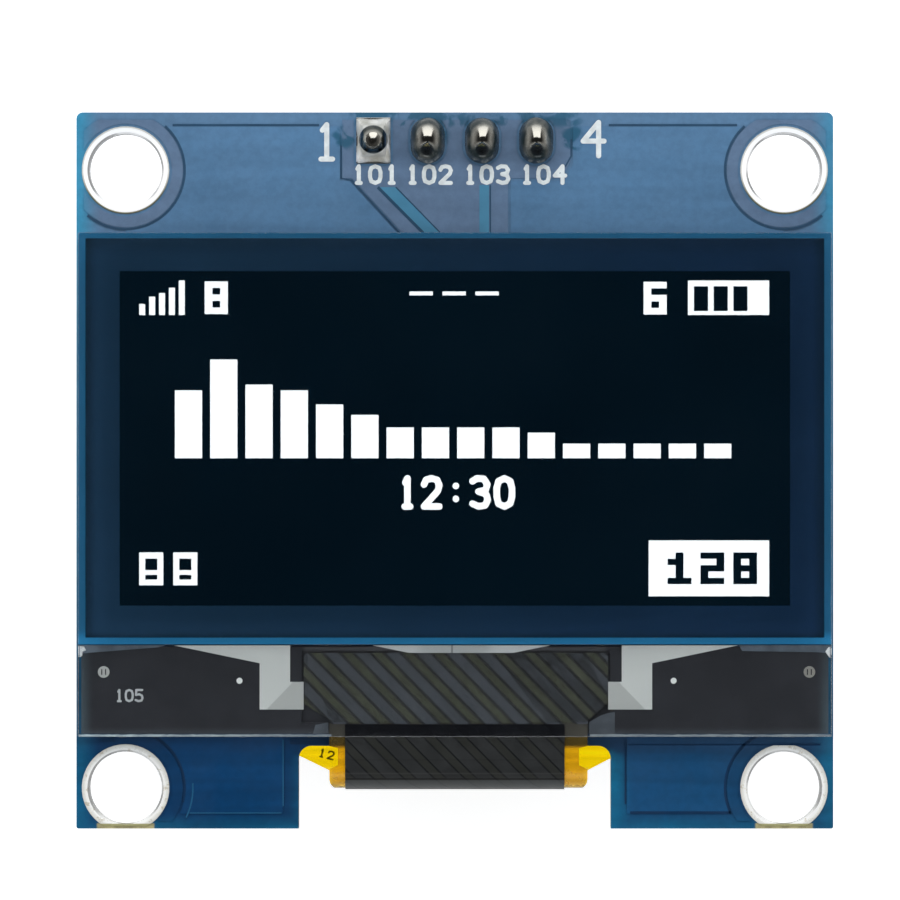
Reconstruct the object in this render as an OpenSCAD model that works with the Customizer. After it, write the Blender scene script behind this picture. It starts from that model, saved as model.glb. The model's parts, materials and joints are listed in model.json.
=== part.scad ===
// Small monochrome display module: a circuit board with four corner holes, a glass
// display panel taped to its front, a flex that folds through a notch in the board's
// lower edge to solder pads on the rear, and a four-way pin header at the top edge.
// The origin is the centre of the four mounting holes on the board's rear face.
// +X is to the right and +Y towards the header, seen from the display side, which is +Z.

/* [Board] */
// Width of the circuit board
board_w = 35.4; // [34:0.1:40]
// Height of the circuit board, from its notched edge to its header edge
board_h = 33.5; // [32:0.1:38]
// Thickness of the circuit board
board_t = 1.2; // [0.8:0.1:1.6]
// Radius of the board's corners at the header edge
board_corner_r = 0.3; // [0.1:0.05:0.5]
// Radius of the board's corners at the notched edge
board_foot_r = 0.1; // [0.05:0.05:0.5]
// Radius of the inner corners of the notch that the flex folds through
notch_r = 0.6; // [0.3:0.1:1]
// Gap between the flex's neck and each side of the notch
notch_side_gap = 1.275; // [1:0.025:1.6]
// Gap from the line where the flex starts to bend up to the notch's end
notch_gap = 0.865; // [0.5:0.005:1]

/* [Mounting holes] */
// Diameter of a finished mounting hole
mount_hole_d = 3.4; // [2.8:0.1:3.8]
// Width of the bare metal ring round each mounting hole
mount_ring_w = 0.35; // [0.2:0.05:0.5]
// Board left between each mounting hole and the side edge
hole_side_wall = 0.6; // [0.4:0.1:1]
// Board left between each upper mounting hole and the header edge
hole_top_wall = 1; // [0.6:0.1:1.2]
// Board left between each lower mounting hole and the notched edge
hole_bottom_wall = 0.2; // [0.2:0.05:0.5]

/* [Header] */
// Number of header pins
pin_count = 4; // [2:1:6]
// Distance between neighbouring header pins
pin_pitch = 2.54; // [2.3:0.02:2.8]
// Side of a square pin
pin_side = 0.64; // [0.5:0.02:0.7]
// Length of pin that stands in front of the board
pin_front = 1.3; // [1.2:0.1:2]
// Length of pin that stands below the plastic housing
pin_rear = 6; // [3:0.5:8]
// Width of a header pad's metal round its hole
pad_ring_w = 0.31; // [0.25:0.01:0.4]
// How much longer than wide a header pad is
pad_stretch = 0.55; // [0.3:0.05:0.8]
// Height of the plastic housing
housing_h = 2.54; // [2:0.1:3]
// Depth of the plastic housing
housing_d = 2.5; // [2.2:0.1:2.8]
// Gap between the plastic housing and the board's header edge
housing_edge_gap = 0.07; // [0:0.01:0.3]
// Height of the solder on each pin above its pad
solder_h = 0.95; // [0.7:0.05:1.05]

/* [Display panel] */
// Distance from the board's header edge to the panel's upper edge
display_top_inset = 5.65; // [5:0.05:6.2]
// Distance from the board's notched edge to the panel's lower edge
display_bottom_inset = 4.35; // [4:0.05:4.8]
// Distance from the board's side edges to the panel
display_side_inset = 0.15; // [0:0.05:0.5]
// Thickness of the front glass
glass_t = 0.6; // [0.4:0.05:0.8]
// Height of the ledge of front glass below the rear glass
ledge_h = 4.25; // [3.9:0.05:4.7]
// Thickness of the rear glass
cap_t = 0.55; // [0.45:0.05:0.7]
// Thickness of the foam tape between board and panel
tape_t = 0.4; // [0.3:0.05:0.8]
// Distance from the rear glass's edges to the foam tape's edges
tape_inset = 0.95; // [0.6:0.05:2]
// Distance from the panel's side edges to the polariser
polariser_side_inset = 0.35; // [0.1:0.05:0.6]
// Distance from the panel's upper edge to the polariser
polariser_top_inset = 0.28; // [0.1:0.02:0.5]
// Distance from the ledge to the polariser
polariser_foot_inset = 0.37; // [0.1:0.01:0.6]
// Thickness of the polariser
polariser_t = 0.2; // [0.1:0.05:0.3]

/* [Screen] */
// Dark border at each side of the lit area
border_side = 1.57; // [1.4:0.01:2.2]
// Dark border above the lit area
border_top = 1.52; // [1.4:0.01:2.2]
// Dark border below the lit area
border_bottom = 1.48; // [1.4:0.01:2.2]
// Columns of picture elements
screen_cols = 128; // [96:16:160]
// Rows of picture elements
screen_rows = 64; // [64:8:80]

/* [Flex] */
// Width of the flex where it folds
neck_w = 12.05; // [10.8:0.05:13.2]
// How far the bonded part of the flex stands out beyond the neck on each side
shoulder_w = 1.075; // [0.8:0.025:1.3]
// Bare film left beside the black covering over the fold
coverlay_side_gap = 0.905; // [0.5:0.005:1.2]
// Thickness of the flex's film
film_t = 0.08; // [0.05:0.01:0.1]
// Distance that the flex stands out of the panel's lower edge before it bends
fold_out = 1.345; // [1.1:0.005:1.5]
// Distance from the bend to the end of the tail on the rear
tail_l = 11.6; // [10:0.1:13]
// Film left beside the outermost finger at the end of the tail
tail_side_gap = 0.575; // [0.3:0.025:1]
// Distance between the shield's slanted stripes, along the board's width
stripe_pitch = 1.42; // [1.2:0.02:1.8]
// Width of a slanted stripe, along the board's width
stripe_w = 0.83; // [0.5:0.01:1]
// Number of solder fingers
finger_count = 30; // [24:1:34]
// Distance between neighbouring fingers
finger_pitch = 0.7; // [0.6:0.01:0.8]
// Width of a finger
finger_w = 0.35; // [0.25:0.01:0.45]

/* [Small parts on the rear] */
// Length of a chip capacitor or resistor
chip_l = 1.6; // [1.4:0.1:1.8]
// Width of a chip capacitor or resistor
chip_w = 0.8; // [0.6:0.1:0.9]
// Height of a chip capacitor
capacitor_h = 0.8; // [0.5:0.1:1]
// Height of a chip resistor
resistor_h = 0.45; // [0.3:0.05:0.6]
// Length of a chip's metal end cap
end_cap_l = 0.3; // [0.2:0.05:0.4]
// Length of the voltage regulator's body
regulator_l = 2.9; // [2.5:0.1:3.3]
// Width of the voltage regulator's body
regulator_w = 1.3; // [1.1:0.1:1.5]
// Length of the diode's body
diode_l = 1.8; // [1.5:0.1:2.2]
// Width of the diode's body
diode_w = 1.25; // [1:0.05:1.5]
// Height of the moulded bodies of the regulator and the diode
moulded_h = 1; // [0.8:0.1:1.2]
// Length of the driver chip behind the glass ledge
driver_l = 8; // [6:0.5:10]
// Width of the driver chip
driver_w = 1.1; // [0.9:0.1:1.4]

/* [Hidden] */
$fn = 48;
capacitor_spots = [[-7.2, 5.6, 90], [-4.4, 5.6, 90], [-1.6, 5.6, 90], [1.2, 5.6, 90], [4, 5.6, 90],
    [6.8, 5.6, 90], [9.6, 5.6, 90], [-12.6, 6, 90], [9.4, 9.8, 0]];
resistor_spots = [[-9.9, 2.2, 0], [-6.6, 2.2, 0], [-3.3, 2.2, 0], [0, 2.2, 0], [3.3, 2.2, 0],
    [6.6, 2.2, 0], [9.9, 2.2, 0], [-8.6, 9.8, 0]];
diode_spot = [5.2, 9.8, 0];
regulator_spot = [-2.8, 10, 0];

// Board places
hole_r = mount_hole_d / 2;
hole_x = board_w / 2 - hole_r - hole_side_wall;
hole_y = (board_h - mount_hole_d - hole_top_wall - hole_bottom_wall) / 2;
board_bottom = -hole_y - hole_r - hole_bottom_wall;
board_top = board_bottom + board_h;
through = 1;                    // how far a cutter runs past the faces it cuts
copper_t = 0.04;                // thickness of a copper pad or plated wall
ring_edge_gap = 0.12;           // laminate left bare between a ring and the board's edge
mask_gap = 0.12;                // gap etched between two copper areas
hole_copper_r = hole_r + 0.98;  // copper area round each mounting hole
copper_edge_gap = 0.35;         // between the copper and the board's edges
header_area_left = 1.45;        // how far the header's copper area reaches past the end pins
header_area_right = 1.6;
header_area_low = 1.76;         // and how far below the pins
header_area_step = 0.45;        // width of the step at its lower left
header_area_slant = 0.92;       // from there it slants this much sideways for each 1 down
header_area_waist = 2.92;       // and its right side steps back this far under the pins
header_area_cut = 0.4;          // its cut lower right corner
fill_top_gap = 0.66;            // from the header edge to the larger copper areas
fill_in = 1;                    // half the gap between the upper ones, under the header's
fill_notch_gap = 0.75;          // from the notch to the lower copper areas
fill_foot_gap = 0.7;            // from the notched edge to them
fill_under = 0.6;               // how far the upper ones reach under the panel

// Header places
pin_hole_r = pin_side * sqrt(2) / 2 + 0.0375;
pad_w = 2 * (pin_hole_r + pad_ring_w);
pad_l = pad_w + pad_stretch;
pin_y = board_top - housing_edge_gap - housing_d / 2;
standoff = 0.15;                // the housing's nibs keep it clear of the pads
nib_r = 0.35;
pin_tip = 0.2;                  // length of a pin's tapered end

// Panel places, and its levels from the board's front face outwards
glass_w = board_w - 2 * display_side_inset;
panel_top = board_top - display_top_inset;
panel_bottom = board_bottom + display_bottom_inset;
ledge_top = panel_bottom + ledge_h;
polariser_w = glass_w - 2 * polariser_side_inset;
polariser_top = panel_top - polariser_top_inset;
polariser_bottom = ledge_top + polariser_foot_inset;
active_w = polariser_w - 2 * border_side;
active_top = polariser_top - border_top;
active_h = active_top - polariser_bottom - border_bottom;
seal_t = 0.05;
cap_z = board_t + tape_t;
seal_z = cap_z + cap_t;
glass_z = seal_z + seal_t;
polariser_z = glass_z + glass_t;
seal_inset = 0.45;              // from the rear glass's edges to the seal
seal_w = 1;                     // width of the seal's bead
recess_depth = 0.3;             // depth of the pocket in the rear glass
desiccant_t = 0.15;
desiccant_gap = 1.2;            // between the desiccant sheet and the pocket's walls
emitter_t = 0.02;
pixel_t = 0.02;
tape_lift = 0.12;               // thickness of the black tape behind the ledge
tape_edge = 0.13;               // from the ledge's edges to that tape
electrode_t = 0.03;
driver_t = 0.3;
driver_gap = 0.6;               // from the flex's upper edge to the driver chip

// Flex places: its layers follow one another round the same bend
bond_w = neck_w + 2 * shoulder_w;
coverlay_w = neck_w - 2 * coverlay_side_gap;
tail_w = (finger_count - 1) * finger_pitch + finger_w + 2 * tail_side_gap;
coverlay_t = 0.05;
shield_t = 0.02;
fold_r = (glass_z + film_t + shield_t + coverlay_t) / 2;
fold_z = glass_z - fold_r;
fold_y = panel_bottom - fold_out;
shield_r = fold_r - coverlay_t;
film_r = shield_r - shield_t;
inner_r = film_r - film_t;
bond_gap = 0.35;                // between the rear glass and the bonded flex
bond_top = ledge_top - bond_gap;
bond_x = 0.05;                  // the bonded flex sits this far right of the middle
neck_x = 0.17;
bond_r = 0.25;                  // radius of the bonded flex's upper corners
shoulder_rise = 1.55;           // from the panel's lower edge up to the shoulders
shoulder_y = panel_bottom + shoulder_rise;
shoulder_h = 0.8;
neck_r = 0.5;                   // radius of the flex's corners at the fold
waist_in = 0.40;                // past the glass the neck is this much narrower on each side
waist_gap = 0.45;               // it narrows this far past the glass's edge
waist_slope = 0.20;             // and widens over this length as it starts to bend
waist_top = panel_bottom - waist_gap;
coverlay_rise = 0.58;           // how far the covering reaches behind the ledge
coverlay_top = panel_bottom + coverlay_rise;
coverlay_tail = 1.2;            // length of the covering behind the fold
tail_top = fold_y + tail_l;
flare_lead = 0.35;              // the tail starts to widen this far before the bend's end
flare_y = fold_y - flare_lead;
flare_h = 2.45;
stripe_x = -0.34;                // phase of the stripes along the width
stripe_slope = 45.5;
finger_l = 1.2;
finger_t = 0.02;
land_l = 1.4;                   // length of the board's pad under each finger
notch_w = neck_w + 2 * notch_side_gap;
notch_top = fold_y + notch_gap;

// Small parts
chip_seat = copper_t;           // chips stand on the pads
cap_proud = 0.02;               // how far a metal end cap stands out of its chip
lead_t = 0.12;
lead_w = 0.4;
lead_pitch = 0.95;
lead_out = 0.55;
body_lift = 0.1;                // between a moulded body and the board
draught = 0.1;

// A flat plate between two heights, centred in X
module strip(w, y0, y1, z0, t) {
    translate([-w / 2, y0, z0]) cube([w, y1 - y0, t]);
}

module at_mount_holes() {
    for (x = [-1, 1], y = [-1, 1])
        translate([x * hole_x, y * hole_y, 0]) children();
}

module at_pin(i) {
    translate([(i - (pin_count + 1) / 2) * pin_pitch, pin_y, 0]) children();
}

module at_pins() {
    for (i = [1:pin_count]) at_pin(i) children();
}

// The header's copper area, grown by a gap: it narrows on one side to run under the panel
module header_area(gap) {
    left = -(pin_count - 1) * pin_pitch / 2 - header_area_left - gap;
    right = (pin_count - 1) * pin_pitch / 2 + header_area_right + gap;
    low = pin_y - header_area_low - gap;
    high = board_top - copper_edge_gap;
    foot = panel_top - fill_under - (gap > 0 ? through : 0);
    step = left + header_area_step;
    polygon([[left, high], [left, low], [step, low], [step + (low - foot) * header_area_slant, foot],
        [right - header_area_waist, foot], [right - header_area_waist, low],
        [right - header_area_cut, low], [right, low + 2 * header_area_cut], [right, high]]);
}

module at_finger(i) {
    translate([(i - (finger_count - 1) / 2) * finger_pitch, tail_top, 0]) children();
}

// Places its children on the rear face, with local +Z pointing away from the board
module on_rear(spot) {
    translate([spot[0], spot[1], 0]) rotate([180, 0, spot[2]]) children();
}

// ---------------------------------------------------------------- board
module circuit_board() {
    color([0.07, 0.33, 0.52]) difference() {
        linear_extrude(board_t) board_outline();
        notch();
        at_mount_holes() translate([0, 0, -through])
            cylinder(r = hole_r + copper_t, h = board_t + 2 * through);
        at_pins() translate([0, 0, -through])
            cylinder(r = pin_hole_r + copper_t, h = board_t + 2 * through);
    }
}

// The board's outline, with two sizes of round corner
module board_outline() {
    middle = (board_top + board_bottom) / 2;
    translate([0, middle]) {
        square([board_w - 2 * board_corner_r, board_h], center = true);
        square([board_w, board_h - 2 * board_corner_r], center = true);
        for (x = [-1, 1]) translate([x * (board_w / 2 - board_corner_r), board_h / 2 - board_corner_r])
            circle(board_corner_r);
    }
    for (x = [-1, 1]) translate([x * (board_w / 2 - board_foot_r), board_bottom + board_foot_r])
        circle(board_foot_r);
    translate([-board_w / 2 + board_foot_r, board_bottom]) square([board_w - 2 * board_foot_r, board_h / 2]);
    translate([-board_w / 2, board_bottom + board_foot_r]) square([board_w, board_h / 2]);
}

module notch() {
    top = notch_top - notch_r;
    translate([0, 0, -through]) linear_extrude(board_t + 2 * through) {
        translate([-notch_w / 2, board_bottom - through])
            square([notch_w, top - board_bottom + through]);
        translate([-notch_w / 2 + notch_r, top - through])
            square([notch_w - 2 * notch_r, notch_r + through]);
        for (s = [-1, 1]) translate([s * (notch_w / 2 - notch_r), top]) circle(notch_r);
    }
}

// One plated hole: a thin wall with a flange on each face of the board
module plated_hole(r, flange_r) {
    rotate_extrude() {
        translate([r, -copper_t]) square([copper_t, board_t + 2 * copper_t]);
        for (z = [-copper_t, board_t]) translate([r, z]) square([flange_r - r, copper_t]);
    }
}

module mounting_hole_plating() {
    color([0.82, 0.83, 0.82]) intersection() {
        at_mount_holes() plated_hole(hole_r, hole_r + mount_ring_w);
        strip(board_w, board_bottom + ring_edge_gap, board_top - ring_edge_gap,
              -through, board_t + 2 * through);
    }
}

// The outline of a header pad: square ended for pin 1, round ended for the others
module pad_outline(i, gap = 0) {
    if (i == 1) square([pad_w + 2 * gap, pad_l + 2 * gap], center = true);
    else {
        square([pad_w + 2 * gap, pad_stretch], center = true);
        for (s = [-1, 1]) translate([0, s * pad_stretch / 2]) circle(pad_w / 2 + gap);
    }
}

module header_pads() {
    color([0.8, 0.8, 0.78]) for (i = [1:pin_count]) at_pin(i) difference() {
        union() {
            for (z = [-copper_t, board_t])
                translate([0, 0, z]) linear_extrude(copper_t) pad_outline(i);
            cylinder(r = pin_hole_r + copper_t, h = board_t);
        }
        translate([0, 0, -through]) cylinder(r = pin_hole_r, h = board_t + 2 * through);
    }
}

// Copper under the solder mask: a round area at each mounting hole and an area round the
// header pads
module front_copper_ground() {
    color([0.2, 0.34, 0.5]) translate([0, 0, board_t]) difference() {
        union() {
            intersection() {
                at_mount_holes() cylinder(r = hole_copper_r, h = copper_t);
                union() {
                    strip(board_w - 2 * copper_edge_gap, 0, board_top - copper_edge_gap, 0, copper_t);
                    strip(2 * hole_x, board_bottom + copper_edge_gap, through, 0, copper_t);
                }
            }
            linear_extrude(copper_t) header_area(0);
        }
        at_mount_holes() translate([0, 0, -through])
            cylinder(r = hole_r + mount_ring_w + mask_gap, h = 2 * through);
        for (i = [1:pin_count]) at_pin(i) translate([0, 0, -through])
            linear_extrude(2 * through) pad_outline(i, mask_gap);
    }
}

// The larger copper areas, clear of the round ones by an etched gap
module front_copper_fill() {
    color([0.15, 0.36, 0.55]) translate([0, 0, board_t]) difference() {
        for (s = [-1, 1]) {
            translate([s * (hole_x + fill_in) / 2, 0, 0])
                strip(hole_x - fill_in, panel_top - fill_under, board_top - fill_top_gap, 0, copper_t);
            translate([s * (hole_x + notch_w / 2 + fill_notch_gap) / 2, 0, 0])
                strip(hole_x - notch_w / 2 - fill_notch_gap, board_bottom + fill_foot_gap,
                      panel_bottom, 0, copper_t);
        }
        at_mount_holes() translate([0, 0, -through])
            cylinder(r = hole_copper_r + mask_gap, h = 2 * through);
        translate([0, 0, -through]) linear_extrude(2 * through) header_area(mask_gap);
    }
}

module flex_pads() {
    color([0.8, 0.8, 0.78]) for (i = [0:finger_count - 1]) at_finger(i)
        translate([-finger_w / 2, 0, -copper_t]) cube([finger_w, land_l, copper_t]);
}

// ---------------------------------------------------------------- display panel
module mounting_tape() {
    color([0.16, 0.17, 0.19])
        strip(glass_w - 2 * tape_inset, ledge_top + tape_inset, panel_top - tape_inset, board_t, tape_t);
}

// The pocket in the rear glass, inside the seal
module pocket(gap, z0, t) {
    edge = seal_inset + seal_w + gap;
    strip(glass_w - 2 * edge, ledge_top + edge, panel_top - edge, z0, t);
}

module cap_glass() {
    color([0.75, 0.85, 0.9, 0.4]) difference() {
        strip(glass_w, ledge_top, panel_top, cap_z, cap_t);
        pocket(0, seal_z - recess_depth, recess_depth + through);
    }
}

module edge_seal() {
    color([0.85, 0.8, 0.6, 0.6]) difference() {
        strip(glass_w - 2 * seal_inset, ledge_top + seal_inset, panel_top - seal_inset, seal_z, seal_t);
        pocket(0, seal_z - through, seal_t + 2 * through);
    }
}

module desiccant_sheet() {
    color([0.9, 0.9, 0.87]) pocket(desiccant_gap, seal_z - recess_depth, desiccant_t);
}

cell_w = active_w / screen_cols;
cell_h = active_h / screen_rows;

module emitter_layer() {
    color([0.01, 0.05, 0.08])
        strip(active_w, active_top - active_h, active_top, glass_z - pixel_t - emitter_t, emitter_t);
}

// A lit block on the screen, in picture elements from the lit area's upper left corner
module lit(col, row, cols, rows) {
    translate([-active_w / 2 + col * cell_w, active_top - (row + rows) * cell_h, glass_z - pixel_t])
        cube([cols * cell_w, rows * cell_h, pixel_t]);
}

// The picture shown, in columns and rows of picture elements
signal_rows = [2.1, 3.5, 4.2, 5.2, 6.6];
signal_step_cols = 1.89;
dash_step_cols = 6.3;
level_rows = [13, 18.9, 14.1, 13, 10.3, 8.3, 5.9, 5.9, 5.9, 5.9, 4.9, 2.8, 2.8, 2.8, 2.8, 2.8];
level_step_cols = 6.735;
cell_step_cols = 3.76;
lock_cols = [3.75, 10.25];

module lit_pixels() {
    color([1, 1, 1]) {
        for (i = [0:len(signal_rows) - 1])
            lit(3.75 + signal_step_cols * i, 8.4 - signal_rows[i], 1.15, signal_rows[i]);
        for (i = [0:2]) lit(55.35 + dash_step_cols * i, 3.9, 4.45, 0.75);
        for (i = [0:len(level_rows) - 1])
            lit(10.56 + level_step_cols * i, 35.8 - level_rows[i], 5.2, level_rows[i]);
        lit_battery();
        for (col = lock_cols) lit_lock(col);
        lit(101, 51.5, 23, 10.7);
    }
}

// The battery sign: a full block with three dark cells
module lit_battery() {
    difference() {
        lit(108.5, 1.8, 15.5, 6.6);
        for (i = [0:2]) cell_cut(109.65 + cell_step_cols * i, 2.9, 2.7, 4.75);
    }
}

module lit_lock(col) {
    difference() {
        lit(col, 53.8, 4.6, 6.3);
        cell_cut(col + 1.15, 55, 2.3, 4);
    }
    lit(col + 1.15, 57.2, 2.3, 0.9);
}

// A cutter through the layer of lit blocks
module cell_cut(col, row, cols, rows) {
    translate([-active_w / 2 + col * cell_w, active_top - (row + rows) * cell_h, glass_z - through])
        cube([cols * cell_w, rows * cell_h, 2 * through]);
}

module substrate_glass() {
    color([0.75, 0.85, 0.9, 0.35]) strip(glass_w, panel_bottom, panel_top, glass_z, glass_t);
}

module polariser() {
    color([0.06, 0.14, 0.22, 0.5])
        strip(polariser_w, polariser_bottom, polariser_top, polariser_z, polariser_t);
}

// ---------------------------------------------------------------- behind the glass ledge
electrode_gap = 0.63;           // between the flex and the upright of a side electrode
electrode_w = 1.42;             // width of the upright
electrode_reach = 4;            // length of its wedge along the rear glass
electrode_drop = 1.35;          // from the flex's upper edge down to its foot
electrode_foot_h = 1.29;
wedge_drop = 0.48;              // from the flex's upper edge down to the wedge's thick end
electrode_in = bond_w / 2 + electrode_gap;
electrode_out = electrode_in + electrode_w;
electrode_step = bond_top - electrode_drop;
middle_top_w = 8.3;
middle_foot_w = 4.85;
middle_x = 0.25;
mark_x = 0.08;                  // the marks sit this far right of the middle
mark_r = 0.27;
dot_r = 0.14;
mark_drop = 1.24;
mark_side_inset = 1.1;
mark_flex_gap = 3.02;

module electrode(side) {
    color([0.72, 0.73, 0.72]) translate([bond_x, 0, glass_z - electrode_t]) linear_extrude(electrode_t)
        mirror([side < 0 ? 1 : 0, 0]) polygon([
            [electrode_in, ledge_top], [electrode_in, electrode_step], [bond_w / 2, electrode_step],
            [bond_w / 2, electrode_step - electrode_foot_h], [electrode_out, electrode_step - electrode_foot_h],
            [electrode_out, bond_top - wedge_drop], [electrode_out + electrode_reach, ledge_top]]);
}

module electrode_middle() {
    color([0.72, 0.73, 0.72]) translate([bond_x + middle_x, 0, glass_z - electrode_t])
        linear_extrude(electrode_t)
            polygon([[-middle_top_w / 2, ledge_top], [-middle_foot_w / 2, bond_top],
                [middle_foot_w / 2, bond_top], [middle_top_w / 2, ledge_top]]);
}

// Round metal marks on the ledge: a slotted one near each end and a dot further in
module alignment_marks() {
    outer_x = glass_w / 2 - mark_side_inset;
    inner_x = bond_w / 2 + mark_flex_gap;
    color([0.8, 0.8, 0.78]) translate([mark_x, ledge_top, glass_z - electrode_t]) {
        for (s = [-1, 1]) {
            translate([s * outer_x, -mark_drop, 0]) difference() {
                cylinder(r = mark_r, h = electrode_t);
                for (k = [-1, 1]) translate([k * mark_r / 3, 0, 0])
                    cube([mark_r / 5, mark_r, 3 * electrode_t], center = true);
            }
            translate([s * inner_x, -mark_drop - mark_r - dot_r, 0]) cylinder(r = dot_r, h = electrode_t);
        }
    }
}

module driver_chip() {
    color([0.18, 0.18, 0.2]) translate([bond_x - driver_l / 2, bond_top - driver_gap - driver_w,
        fold_z + inner_r - driver_t]) cube([driver_l, driver_w, driver_t]);
}

module ledge_tape() {
    gap = 0.1;
    z0 = glass_z - electrode_t - tape_lift;
    color([0.13, 0.13, 0.15]) difference() {
        strip(glass_w - 2 * tape_edge, panel_bottom + tape_edge, ledge_top - tape_edge / 2, z0, tape_lift);
        translate([bond_x - bond_w / 2 - gap, shoulder_y - shoulder_h - gap, z0 - through])
            cube([bond_w + 2 * gap, bond_top - shoulder_y + shoulder_h + 2 * gap, 3 * through]);
        translate([neck_x - neck_w / 2 - gap, panel_bottom - through, z0 - through])
            cube([neck_w + 2 * gap, shoulder_y - panel_bottom + through, 3 * through]);
    }
}

// ---------------------------------------------------------------- flex
// A layer of the flex between two radii of its fold, cut to a width along X
module fold_layer(r_in, r_out, front_y, rear_y) {
    w = tail_w + 2;
    translate([-w / 2, fold_y, fold_z]) rotate([90, 0, 90]) linear_extrude(w) {
        intersection() {
            difference() {
                circle(r_out, $fn = 96);
                circle(r_in, $fn = 96);
            }
            translate([-2 * r_out, -r_out]) square([2 * r_out, 2 * r_out]);
        }
        translate([0, r_in]) square([front_y - fold_y, r_out - r_in]);
        if (rear_y > fold_y) translate([0, -r_out]) square([rear_y - fold_y, r_out - r_in]);
    }
}

// The flex's outline in front of the board: bonded part, shoulders and neck
module front_outline() {
    left = bond_x - bond_w / 2;
    right = bond_x + bond_w / 2;
    side = neck_w / 2;
    polygon([[left + bond_r, bond_top], [left, bond_top - bond_r], [left, shoulder_y],
        [neck_x - side, shoulder_y - shoulder_h], [neck_x + side, shoulder_y - shoulder_h],
        [right, shoulder_y], [right, bond_top - bond_r], [right - bond_r, bond_top]]);
    for (x = [left + bond_r, right - bond_r]) translate([x, bond_top - bond_r]) circle(bond_r);
    polygon([[neck_x - side, shoulder_y], [neck_x - side, waist_top],
        [neck_x - side + waist_in, waist_top - waist_slope / 2], [neck_x - side + waist_in, fold_y],
        [neck_x - side, fold_y - waist_slope], [neck_x - side, fold_y - waist_slope - neck_r],
        [neck_x + side, fold_y - waist_slope - neck_r], [neck_x + side, fold_y - waist_slope],
        [neck_x + side - waist_in, fold_y], [neck_x + side - waist_in, waist_top - waist_slope / 2],
        [neck_x + side, waist_top], [neck_x + side, shoulder_y]]);
    neck_outline(fold_y - waist_slope);
}

// The neck, down to round corners at the fold's outermost line
module neck_outline(top) {
    bottom = fold_y - fold_r;
    translate([neck_x - neck_w / 2, bottom + neck_r]) square([neck_w, top - bottom - neck_r]);
    translate([neck_x - neck_w / 2 + neck_r, bottom - through])
        square([neck_w - 2 * neck_r, neck_r + 2 * through]);
    for (s = [-1, 1]) translate([neck_x + s * (neck_w / 2 - neck_r), bottom + neck_r]) circle(neck_r);
}

module rear_outline() {
    neck_outline(flare_y + through);
    polygon([[neck_x - neck_w / 2, flare_y], [neck_x + neck_w / 2, flare_y],
        [tail_w / 2, flare_y + flare_h], [tail_w / 2, tail_top],
        [-tail_w / 2, tail_top], [-tail_w / 2, flare_y + flare_h]]);
}

module flex_prism() {
    translate([0, 0, fold_z]) linear_extrude(2 * fold_r) front_outline();
    translate([0, 0, fold_z - 2 * fold_r]) linear_extrude(2 * fold_r) rear_outline();
}

module flex_film() {
    color([0.85, 0.6, 0.12]) intersection() {
        fold_layer(inner_r, film_r, bond_top, tail_top);
        flex_prism();
    }
}

module shield_hatch() {
    rise = bond_top - fold_y + fold_r;
    count = ceil((bond_w + rise) / stripe_pitch / 2) + 1;
    color([0.27, 0.28, 0.32]) difference() {
        intersection() {
            fold_layer(film_r, shield_r, bond_top, fold_y);
            flex_prism();
            for (i = [-count:count])
                translate([stripe_x + i * stripe_pitch, (bond_top + fold_y) / 2, fold_z])
                    linear_extrude(2 * fold_r) stripe_outline(rise);
        }
        for (s = [-1, 1]) translate([s * (coverlay_w + bond_w) / 2, 0, 0])
            strip(bond_w, fold_y - 2 * fold_r, coverlay_top, 0, 2 * glass_z);
    }
}

// One slanted stripe, falling to the right
module stripe_outline(rise) {
    run = rise / tan(stripe_slope);
    polygon([[-run - stripe_w / 2, rise], [-run + stripe_w / 2, rise],
        [run + stripe_w / 2, -rise], [run - stripe_w / 2, -rise]]);
}

module bond_adhesive() {
    gap = 0.08;
    color([0.6, 0.62, 0.6, 0.3]) intersection() {
        translate([0, 0, glass_z - coverlay_t]) linear_extrude(coverlay_t) front_outline();
        strip(2 * bond_w, coverlay_top + gap, panel_top, glass_z - through, 2 * through);
    }
}

module flex_coverlay() {
    color([0.14, 0.14, 0.15]) intersection() {
        fold_layer(shield_r, fold_r, coverlay_top, fold_y + coverlay_tail);
        strip(coverlay_w, fold_y - 2 * fold_r, panel_top, fold_z - 2 * fold_r, 4 * fold_r);
    }
}

module flex_fingers() {
    color([0.8, 0.55, 0.3]) for (i = [0:finger_count - 1]) at_finger(i)
        translate([-finger_w / 2, -finger_l, -film_t - finger_t]) cube([finger_w, finger_l, finger_t]);
}

// One bead of solder from a finger over the film's end to the board's pad
module finger_solder() {
    under = -film_t - finger_t;
    color([0.78, 0.79, 0.78]) for (i = [0:finger_count - 1]) at_finger(i)
        translate([-finger_w / 2, 0, 0]) rotate([90, 0, 90]) linear_extrude(finger_w)
            polygon([[0, -copper_t], [land_l * 0.85, -copper_t], [land_l * 0.7, -0.16],
                [land_l * 0.35, -0.26], [0, -0.3], [-finger_l * 0.3, -0.26],
                [-finger_l * 0.6, under], [0, under]]);
}

// ---------------------------------------------------------------- header
// One way of the housing: a square with its four corners cut
module way_outline() {
    a = pin_pitch / 2;
    b = housing_d / 2;
    c = 0.4;
    polygon([[-a, -b + c], [-a + c, -b], [a - c, -b], [a, -b + c],
        [a, b - c], [a - c, b], [-a + c, b], [-a, b - c]]);
}

module header_housing() {
    color([0.08, 0.08, 0.09]) {
        difference() {
            at_pins() translate([0, 0, -housing_h]) linear_extrude(housing_h - standoff) way_outline();
            at_pins() translate([0, 0, -housing_h / 2]) cube([pin_side, pin_side, 2 * housing_h], center = true);
        }
        for (i = [1:pin_count - 1]) at_pin(i + 0.5)
            translate([0, 0, -standoff]) cylinder(r = nib_r, h = standoff);
    }
}

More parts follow.
